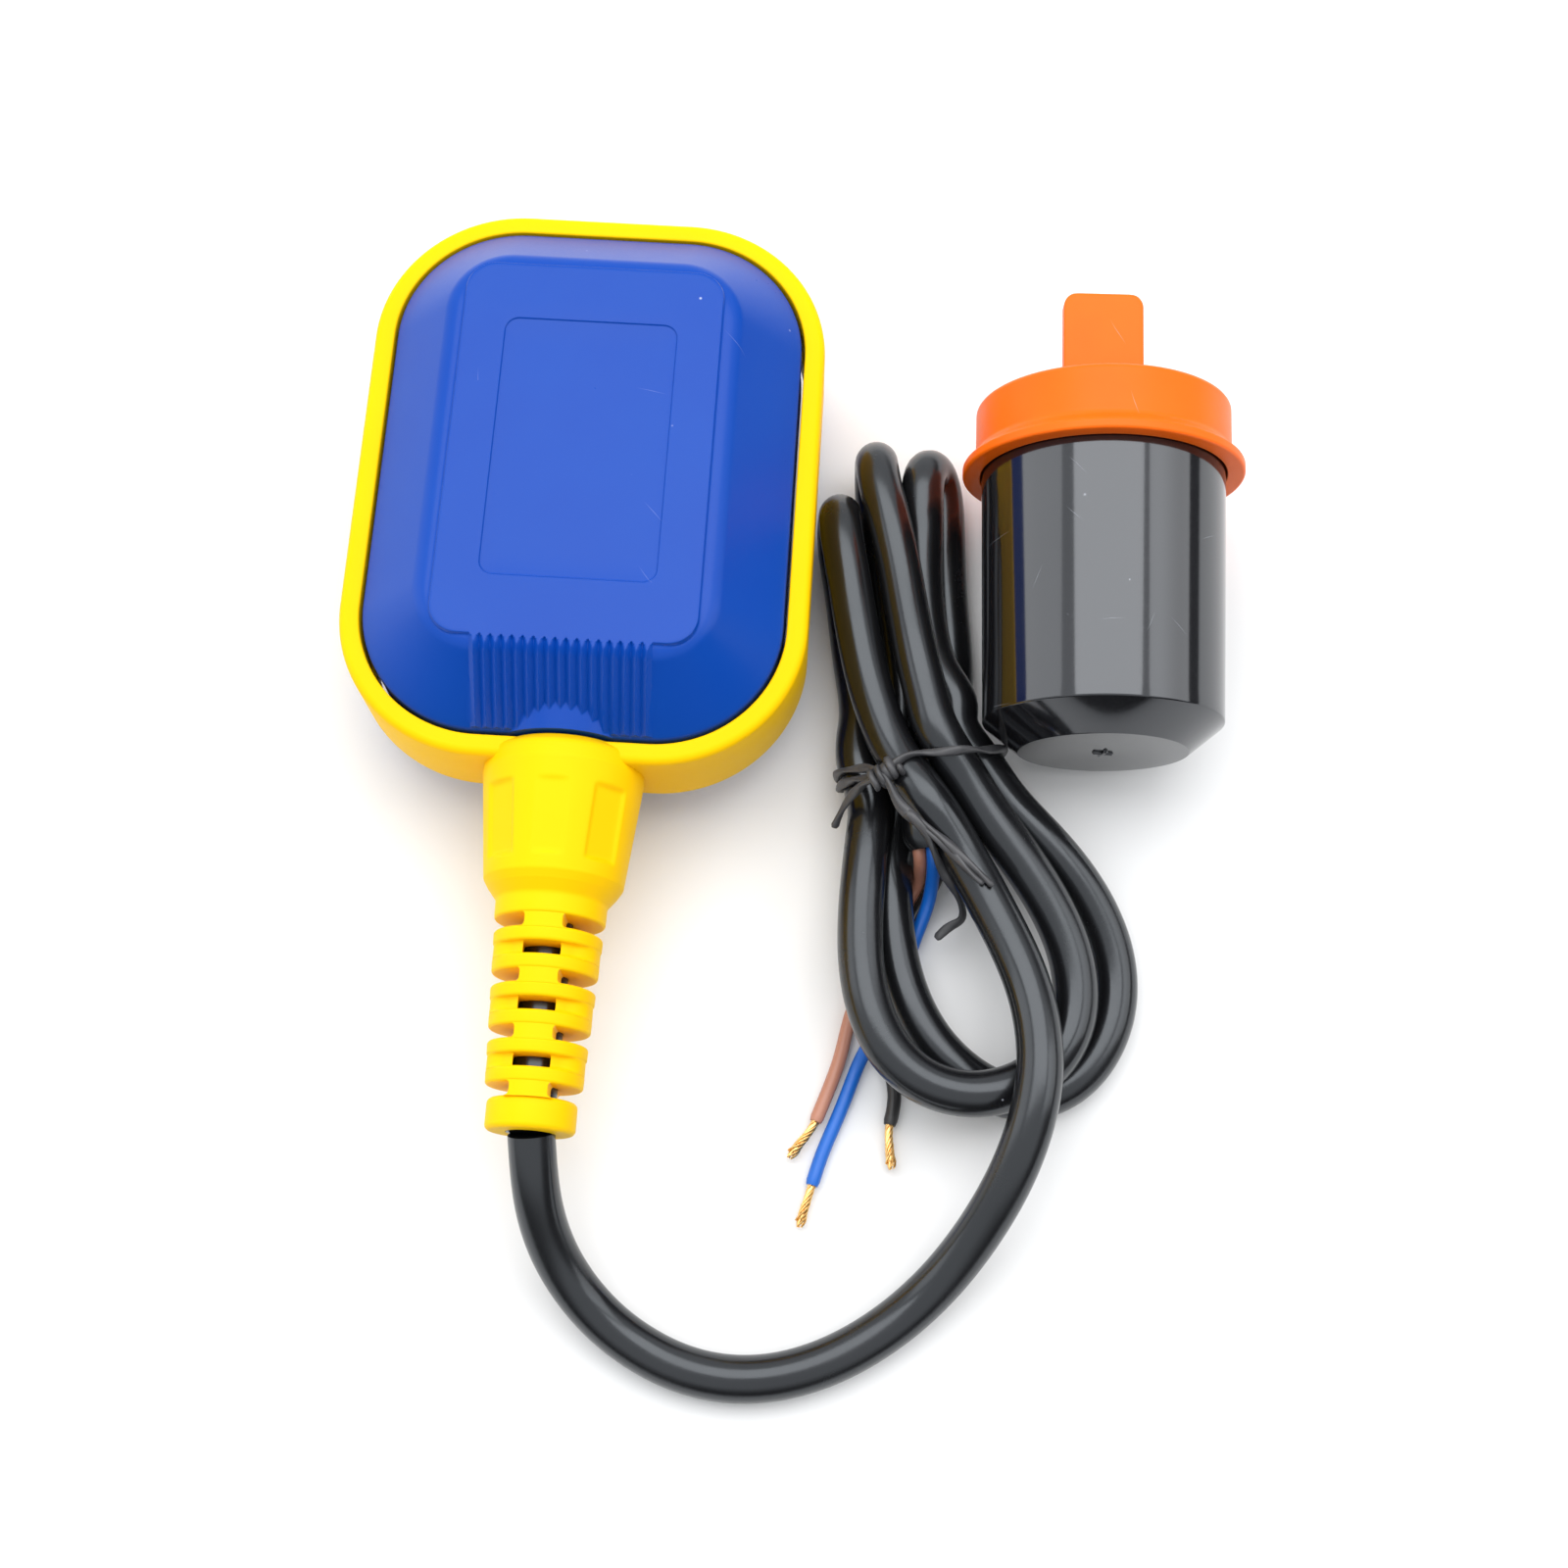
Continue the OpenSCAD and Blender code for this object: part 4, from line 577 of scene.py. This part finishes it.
def outline(w, l, r, front=FRONT_HALF, counts=(312, 44, 60, 44, 44)):
    """A rounded rectangle, anticlockwise from the left end of its front side. It is sampled section by section
    (front, then corner, side, corner and half the back, mirrored), so outlines of other sizes match it point
    by point, and the front's points keep their x from one outline to the next."""
    a = np.radians(np.linspace(0, 90, 361))
    first = np.stack([w / 2 - r + r * np.sin(a), -l / 2 + r - r * np.cos(a)], 1)
    second = np.stack([w / 2 - r + r * np.cos(a), l / 2 - r + r * np.sin(a)], 1)
    dense = np.concatenate([[[0, -l / 2]], first, second, [[0, l / 2]]])
    run = distances(dense)
    front = min(front, w / 2 - r * 0.995)
    start = np.interp(front, dense[:362, 0], run[:362])
    quarter, straight = np.pi / 2 * r, l - 2 * r
    stops = [start, w / 2 - r + quarter, w / 2 - r + quarter + straight, w / 2 - r + 2 * quarter + straight, run[-1]]
    at = np.concatenate([np.linspace(a0, a1, n, endpoint=False)
                         for a0, a1, n in zip(stops[:-1], stops[1:], counts[1:])] + [[run[-1]]])
    right = np.stack([np.interp(at, run, dense[:, k]) for k in (0, 1)], 1)
    x = np.linspace(-front, front, counts[0] + 1)
    south = np.stack([x, np.interp(np.abs(x), dense[:362, 0], dense[:362, 1])], 1)
    left = right[::-1][1:] * [-1, 1]
    return np.concatenate([south[:-1], right, left[:-1]])


def inset_of(p, w, l, r):
    """How far a point lies inside a rounded rectangle's outline."""
    q = np.abs(p) - np.array([w / 2 - r, l / 2 - r])
    return r - (np.hypot(*np.maximum(q, 0).T) + np.minimum(q.max(1), 0))


def dome_height(inset):
    """Height of the dome over the middle plane: foot arc, straight slope, crown arc, then flat."""
    foot = LIP + np.sqrt(np.maximum(FOOT_R ** 2 - (FOOT_R - inset) ** 2, 0))
    slope = CONTACT[1] + (inset + CONTACT[0]) * np.cos(SLOPE_NORMAL) / np.sin(SLOPE_NORMAL)
    crown = TOP[1] + np.sqrt(np.maximum(CROWN_R ** 2 - (DOME_RUN - inset) ** 2, 0))
    crown_start = DOME_RUN - CROWN_R * np.cos(SLOPE_NORMAL)
    return np.where(inset < -CONTACT[0], foot, np.where(inset < crown_start, slope,
                                                        np.where(inset < DOME_RUN, crown, CROWN)))


def front_features(p, z):
    """Raises the front slope to the grip ribs and the round hood over the gland, whichever is higher.
    A rib is a V ridge square to the slope, and the hood is a cone about the cable's line."""
    x, y = p[:, 0], p[:, 1]
    away = y + SHELL_L / 2
    phase = np.abs(((x / RIB_PITCH + RIB_COUNT / 2) % 1) - 0.5) * 2
    crest = RIB_H * (1 - phase)
    ribs = np.minimum(z + crest / np.sin(SLOPE_NORMAL), MID)
    in_ribs = (np.abs(x) < RIB_PITCH * RIB_COUNT / 2) & (y < -30) & (away > 0.3)
    z = np.where(in_ribs, np.maximum(z, ribs), z)
    radius = HOOD_R + (HOOD_BACK_R - HOOD_R) * away / DOME_RUN
    hood = np.sqrt(np.maximum(radius ** 2 - x ** 2, 0))
    in_hood = (away > 0.02) & (away < DOME_RUN) & (np.abs(x) < radius)
    return np.where(in_hood, np.maximum(z, hood), z)


def shell_rings(label):
    """Rings of the closed shell from the middle of its inside, round its lip, to the middle of its outside.
    Each ring lies on one outline, or between two, at the dome's height plus the features."""
    def ring(p, z):
        return np.concatenate([p, np.broadcast_to(z, len(p))[:, None]], 1)

    def inset(d):
        return outline(SHELL_W - 2 * d, SHELL_L - 2 * d, SHELL_R - d)

    rings = [ring(inset(13.5) * 0.3, 18.3), ring(inset(13.5), 18.3), ring(inset(12), 18.0), ring(inset(2.6), 9.6),
             ring(inset(2.2), 4.3), ring(inset(0), 4.3), ring(inset(0), 7.6), ring(inset(0), LIP)]
    for angle in np.linspace(0, SLOPE_NORMAL, 7)[1:-1]:
        d = FOOT_R * (1 - np.cos(angle))
        p = inset(d)
        rings.append(ring(p, front_features(p, np.full(len(p), LIP + FOOT_R * np.sin(angle)))))
    start = inset(-CONTACT[0])
    foot = outline(44.6 + 0.9, 68.8 + 0.9, 5.45)
    for share in np.linspace(0, 1, 58):
        p = start * (1 - share) + foot * share
        rings.append(ring(p, front_features(p, dome_height(inset_of(p, SHELL_W, SHELL_L, SHELL_R)))))
    base = rings[-1][:, 2]
    for grow, lift in ((0.22, 0.06), (0.08, 0.2), (0.0, 0.42), (-0.06, 0.7), (-0.2, 0.92), (-0.45, 1.0)):
        p = outline(44.6 + 2 * grow, 68.8 + 2 * grow, 5 + grow)
        rings.append(ring(p, np.maximum(front_features(p, base * (1 - lift) + MID * lift), base)))
    for w, l, r in ((43, 67.2, 4.6), (40, 63, 4), (34, 54, 3.4)):
        rings.append(ring(outline(w, l, r), MID))
    if label:
        for grow, drop in ((0.35, 0), (0.12, 0.02), (0, 0.12), (-0.08, 0.24), (-0.35, 0.3)):
            rings.append(ring(outline(29.5 + 2 * grow, 47.5 + 2 * grow, 2.4 + grow), MID - drop))
    for scale in (0.8, 0.4, 0.1):
        rings.append(ring(outline(29, 47, 2.1) * scale, MID - (0.3 if label else 0)))
    return np.stack(rings)


def make_shells():
    """Both shells: the lower one is the upper one without its label recess, mirrored in the middle plane."""
    upper = shell_rings(True)
    piece("upper_float_shell", [sheet(upper + [0, 0, MID])], FINISHES["blue_shell"],
          ("upper_shell",), sharp=28)
    lower = shell_rings(False) * [1, 1, -1]
    piece("lower_float_shell", [sheet(lower + [0, 0, MID])], FINISHES["blue_shell"],
          ("lower_shell",), sharp=28)


# ---- Frame ring, gland and strain relief ----
RING_IN, GLAND_END, FIRST_SLOT = -47.45, -71.45, -78.5
SLOT_PITCH, SLOT_W, SLOTS = 4.57, 2.1, 7
RELIEF_START, RELIEF_END, CORD_EXIT = -75.35, -106.97, -112.17
RELIEF_R, RELIEF_END_R, COLLAR_R, BORE_R = 9.3, 7.9, 7.4, 4.0


def relief_radius(y):
    """Radius of the tapered strain relief at a place along the cable."""
    return RELIEF_R + (RELIEF_END_R - RELIEF_R) * (RELIEF_START - y) / (RELIEF_START - RELIEF_END)


def frame_ring():
    """The ring's section, with soft edges and the groove for both flanges, carried round its outline."""
    h, band = 9.0, 3.55
    section = rounded([(-band, -2.7, 0), (-band, -h, 0.35), (0, -h, 1.3), (0, h, 1.3), (-band, h, 0.35),
                       (-band, 2.7, 0)])
    groove = np.array([[-2.45, 2.7], [-2.45, -2.7]])
    section = np.concatenate([section, groove])
    rings = [np.concatenate([outline(80 + 2 * x, 102.5 + 2 * x, 25.5 + x, counts=(64, 44, 40, 44, 30)),
                             np.full((64 + 2 * (44 + 40 + 44 + 30), 1), MID + z)], 1) for x, z in section]
    return sheet(np.stack(rings), loop=True, caps=False)


def gland_body():
    """The gland and neck: a profile turned about the cable, pressed in at flat panels. A panel is a facet
    at a fixed depth under the round form, blended in over a soft edge."""
    profile = rounded([(BORE_R, 0.4, 0), (11.0, 0.0, 0.5), (13.45, 1.6, 1.6), (13.7, 4.6, 3.0), (11.75, 23.2, 1.2),
                       (10.9, 24.6, 1.0), (9.35, 26.6, 1.3), (9.3, 29.2, 0.6), (9.25, 30, 0.5), (BORE_R, 30.02, 0)], 7)
    run = distances(profile)
    fine = np.unique(np.concatenate([run, np.linspace(0, run[-1], 190)]))
    profile = np.stack([np.interp(fine, run, profile[:, k]) for k in (0, 1)], 1)
    sides = 288
    angle = np.arange(sides) * 2 * np.pi / sides
    r, s = profile[:, :1], profile[:, 1:]
    pressed = np.broadcast_to(r, (len(profile), sides)).copy()
    for a in (0, 45, 135, 180, 225, 315):
        off = (angle - np.radians(a) + np.pi) % (2 * np.pi) - np.pi
        half, depth = (2.85, 0.34) if a % 180 == 0 else (3.1, 0.75)
        lateral = r * np.sin(off)
        inside = (1 / (1 + np.exp((np.abs(lateral) - half) / 0.12)) / (1 + np.exp((8.3 - s) / 0.16))
                  / (1 + np.exp((s - 20.6) / 0.16)) * (np.abs(off) < 1))
        flat = (r - depth) / np.cos(np.clip(off, -1, 1))
        pressed = pressed * (1 - inside) + np.minimum(pressed, flat) * inside
    x = pressed * np.sin(angle)[None]
    z = pressed * np.cos(angle)[None]
    y = np.broadcast_to(RING_IN - s, x.shape)
    return sheet(np.stack([x, y, MID + z], -1)[:, ::-1], loop=True, caps=False)


def relief_disc(y0, y1, r0, r1, edge):
    """One bar of the strain relief: a ring round the cable with rounded outer edges."""
    profile = rounded([(BORE_R, 0, 0), (r0, 0, edge), (r1, y0 - y1, edge), (BORE_R, y0 - y1, 0)], 7)
    return sheet(turned(profile, ((0, y0, MID), (0, -1, 0), (1, 0, 0)), 96), loop=True, caps=False)


def relief_web(y, sector, depth, flare=0.85):
    """A web between two bars. It sinks by depth toward the windows and is flush at the sides. Its section is a sector round the cable between two flat sides, carried across
    the slot, and it flares into both bars along a quarter circle."""
    t = np.linspace(-1, 1, 17)
    reach = SLOT_W / 2 + 0.25
    near = np.clip((1 - np.abs(t)) * reach / flare, 0, 1)
    grow = flare * (1 - np.sqrt(np.maximum(1 - (1 - near) ** 2, 0)))
    outer = relief_radius(y) - 0.1
    if sector == "front":
        half = np.arcsin((3.1 + grow) / outer)
        lo, hi = -half, half
    else:
        lo = np.arcsin((3.6 - grow) / outer)
        hi = np.pi - lo
    u = np.linspace(0, 1, 33)[None]
    angle = lo[:, None] * (1 - u) + hi[:, None] * u
    inner_lo = np.arcsin(np.clip(outer * np.sin(lo) / BORE_R, -0.97, 0.97))
    inner_hi = -inner_lo if sector == "front" else np.pi - inner_lo
    inner = inner_hi[:, None] * (1 - u) + inner_lo[:, None] * u
    sunk = depth * np.clip((np.abs(angle - np.pi / 2) - 0.3) / 0.55, 0, 1) ** 1.5
    r = outer - np.maximum(sunk - grow[:, None], 0)
    x = np.concatenate([r * np.sin(angle), BORE_R * np.sin(inner)], 1)
    z = np.concatenate([r * np.cos(angle), BORE_R * np.cos(inner)], 1)
    yy = np.broadcast_to((y + t * reach)[:, None], x.shape)
    grids = []
    for flip in (1, -1):
        mirrored = np.stack([x, yy, z * flip], -1) if sector == "front" else np.stack([x * flip, yy, z], -1)
        grids.append(sheet(mirrored + [0, 0, MID]))
    return grids


def make_ring():
    """The whole yellow moulding: frame ring, gland, and the slotted strain relief with its end collar."""
    sheets = [frame_ring(), gland_body()]
    faces = [FIRST_SLOT - k * SLOT_PITCH for k in range(SLOTS)]
    for y0, y1 in zip(faces[:-1], faces[1:]):
        a, b = y0 - SLOT_W / 2, y1 + SLOT_W / 2
        sheets.append(relief_disc(a, b, relief_radius(a), relief_radius(b), 0.55))
    sheets.append(relief_disc(RELIEF_END, CORD_EXIT, COLLAR_R, COLLAR_R, 0.9))
    for k, y in enumerate(faces):
        sheets += relief_web(y, "front", 0) if k % 2 == 0 else relief_web(y, "side", 1.2)
    piece("frame_ring_and_relief", sheets, FINISHES["yellow_ring"], ("ring_and_strain_relief",))


# ---- Counterweight ----
WEIGHT_R, WEIGHT_END_R, WEIGHT_L, CHAMFER_L, END_FACE_R = 21.4, 20.6, 59.5, 5.0, 14.6
CAP_R, FLANGE_R, CAP_L, CAP_END, FLANGE_T = 22.3, 24.6, 12.6, 2.4, 3.0
TAB_W, TAB_L, TAB_T = 14.2, 22.0, 3.2
LEAN = np.arcsin((FLANGE_R - WEIGHT_END_R) / (WEIGHT_L - 1 - CAP_L + CAP_END - CHAMFER_L))


def weight_axes():
    """Start, direction and first side of the weight's axis: turned 1.7 degrees, and lifted at the cap by its flange."""
    turn = np.radians(1.7)
    start = np.array([91.5, -41.5, WEIGHT_END_R / np.cos(LEAN) - CHAMFER_L * np.tan(LEAN)])
    along = np.array([-np.sin(turn) * np.cos(LEAN), np.cos(turn) * np.cos(LEAN), np.sin(LEAN)])
    side = np.array([np.cos(turn), np.sin(turn), 0])
    return start, along, side


def make_weight_case():
    """The case: its outer profile with soft edges, a shallow gate mark in the end face, and a hollow inside."""
    wall = 2.4
    outer = rounded([(0.9, 0.0, 0), (END_FACE_R, 0, 0.35), (WEIGHT_END_R, CHAMFER_L, 0.5), (WEIGHT_R, WEIGHT_L, 0.5),
                     (WEIGHT_R - wall, WEIGHT_L, 0.3), (WEIGHT_END_R - wall, CHAMFER_L + wall / 2, 0.5),
                     (END_FACE_R - 1, wall, 0.4), (0.9, wall, 0)])
    body = np.concatenate([[[0.02, 0.35]], [[0.5, 0.35]], [[0.62, 0.02]], outer, [[0.02, wall]]])
    cuts = np.linspace(0.04, 0.96, 14)[:, None]
    side = outer[(outer[:, 0] > 20) & (outer[:, 1] > 4)]
    k = int(np.where(np.all(body == side[4], axis=1))[0][0])
    body = np.concatenate([body[:k + 1], body[k] * (1 - cuts) + body[k + 1] * cuts, body[k + 1:]])
    mark = []
    start, along, first = weight_axes()
    over = np.cross(along, first)
    for a in (0.2, 0.2 + np.pi / 2):
        arm = np.cos(a) * first + np.sin(a) * over
        line = start - along * 0.02 + np.linspace(-1.9, 1.9, 13)[:, None] * arm
        mark.append(sheet(tube(line, blunt(line, 0.42, 0.3), 10, flat=1.0)))
    piece("weight_case_moulding", [sheet(turned(body, weight_axes(), 160))] + mark, FINISHES["weight_black"],
          ("weight_case",))


def make_weight_cap():
    """The cap: its section turned round the case, with a flared flange and a soft rim, and a flat tab on its end.
    The tab is a rounded slab: a superellipse section whose width rounds off at the far end."""
    inner = WEIGHT_R + 0.1
    z0 = WEIGHT_L + 0.1 + CAP_END - CAP_L
    z1 = z0 + CAP_L
    section = rounded([(0.02, z1 - CAP_END, 0), (inner, z1 - CAP_END, 0.2), (inner, z0, 0.2), (FLANGE_R, z0, 0.5),
                       (FLANGE_R, z0 + 1.6, 0.5), (CAP_R, z0 + FLANGE_T + 0.6, 1.6), (CAP_R, z1, 1.1),
                       (0.02, z1, 0)], 7)
    start, along, side = weight_axes()
    over = np.cross(along, side)
    v = np.linspace(0, 1, 60)
    length = TAB_L + 1
    run = length * (1 - (1 - v) ** 1.6)
    round_r = 2.6
    near = np.clip((length - run) / round_r, 0, 1)
    half = TAB_W / 2 - round_r * (1 - np.sqrt(np.maximum(1 - (1 - near) ** 2, 0)))
    edge = np.clip((length - run) / 0.7, 0, 1)
    thick = TAB_T / 2 - 0.7 * (1 - np.sqrt(np.maximum(1 - (1 - edge) ** 2, 0)))
    angle = np.arange(72) * 2 * np.pi / 72
    power = 0.16
    cx = np.sign(np.cos(angle)) * np.abs(np.cos(angle)) ** power
    cy = np.sign(np.sin(angle)) * np.abs(np.sin(angle)) ** power
    root = start + along * (z1 - 1)
    tab = (root + run[:, None, None] * along + (half[:, None] * cx)[..., None] * side
           + (thick[:, None] * cy)[..., None] * over)
    nib_line = root + along * 7.6 + side * (TAB_W / 2 - 0.2) + np.linspace(0, 0.9, 5)[:, None] * (side + along * 0.3)
    nib = tube(nib_line, np.array([0.4, 0.36, 0.3, 0.2, 0.08]), 8)
    piece("weight_cap_moulding", [sheet(turned(section, weight_axes(), 160)), sheet(tab), sheet(nib)],
          FINISHES["cap_orange"], ("weight_cap",))


# ---- Floor and light ----
def make_stage():
    """A pale floor, a soft box overhead to the back, two weaker ones at the sides, and a sky darker to the front."""
    points = np.stack(np.meshgrid([-3.0, 3.0], [-3.0, 3.0], [0.0], indexing="ij"), -1).reshape(-1, 3)
    mesh = bpy.data.meshes.new("floor")
    mesh.from_pydata(points.tolist(), [], [(0, 2, 3, 1)])
    floor = bpy.data.objects.new("floor", mesh)
    bpy.context.scene.collection.objects.link(floor)
    paper = bpy.data.materials.new("floor_paper")
    paper.use_nodes = True
    tree = paper.node_tree
    place = node(tree, "ShaderNodeTexCoord")
    tone = use(tree, MOTTLE, Vector=place.outputs["Object"], Colour_A=(0.82, 0.82, 0.82, 1),
               Colour_B=(0.84, 0.84, 0.84, 1), Scale=20.0, Contrast=1.0)
    tree.links.new(tone.outputs["Colour"], tree.nodes["Principled BSDF"].inputs["Base Color"])
    tree.nodes["Principled BSDF"].inputs["Roughness"].default_value = 0.9
    mesh.materials.append(paper)
    for name, place, target, size, power in (
            ("box_over", (0.03, 0.3, 1.0), (0.03, 0.1, 0.0), (1.2, 0.8), 8.4),
            ("box_left", (-0.95, 0.15, 0.45), (0.0, 0.0, 0.0), (0.5, 0.9), 1.6),
            ("box_right", (0.95, 0.1, 0.6), (0.05, 0.0, 0.0), (0.7, 0.8), 3.4)):
        light = bpy.data.lights.new(name, "AREA")
        light.shape = "RECTANGLE"
        light.size, light.size_y = size
        light.energy = power
        lamp = bpy.data.objects.new(name, light)
        bpy.context.scene.collection.objects.link(lamp)
        back = unit(np.array(place) - np.array(target))
        across = unit(np.cross([0, 0, 1.0], back))
        up = np.cross(back, across)
        lamp.matrix_world = Matrix([(across[i], up[i], back[i], place[i]) for i in range(3)] + [(0, 0, 0, 1)])
    world = bpy.data.worlds.new("studio")
    bpy.context.scene.world = world
    world.use_nodes = True
    tree = world.node_tree
    ground = tree.nodes["Background"]
    direction = node(tree, "ShaderNodeTexCoord").outputs["Generated"]
    parts = node(tree, "ShaderNodeSeparateXYZ", {"Vector": direction})
    front = maths(tree, "MULTIPLY_ADD", parts.outputs["Z"], 0.9, parts.outputs["Y"])
    ramp = node(tree, "ShaderNodeMapRange", {"Value": front, "From Min": -0.75, "From Max": 0.0,
                                             "To Min": 0.08, "To Max": 1.1}, interpolation_type="SMOOTHSTEP")
    east = maths(tree, "MULTIPLY_ADD", parts.outputs["Z"], -0.9, parts.outputs["X"])
    shade = node(tree, "ShaderNodeMapRange", {"Value": east, "From Min": 0.0, "From Max": 0.6, "To Min": 1.0,
                                              "To Max": 0.12}, interpolation_type="SMOOTHSTEP")
    tree.links.new(maths(tree, "MULTIPLY", ramp.outputs["Result"], shade.outputs["Result"]),
                   ground.inputs["Strength"])
    ground.inputs["Color"].default_value = (0.96, 0.98, 1.0, 1)
    bpy.context.scene.view_settings.view_transform = "Standard"


place_camera()
dress_nodes()
make_cable()
make_cores()
make_tie()
make_shells()
make_ring()
make_weight_case()
make_weight_cap()
make_stage()
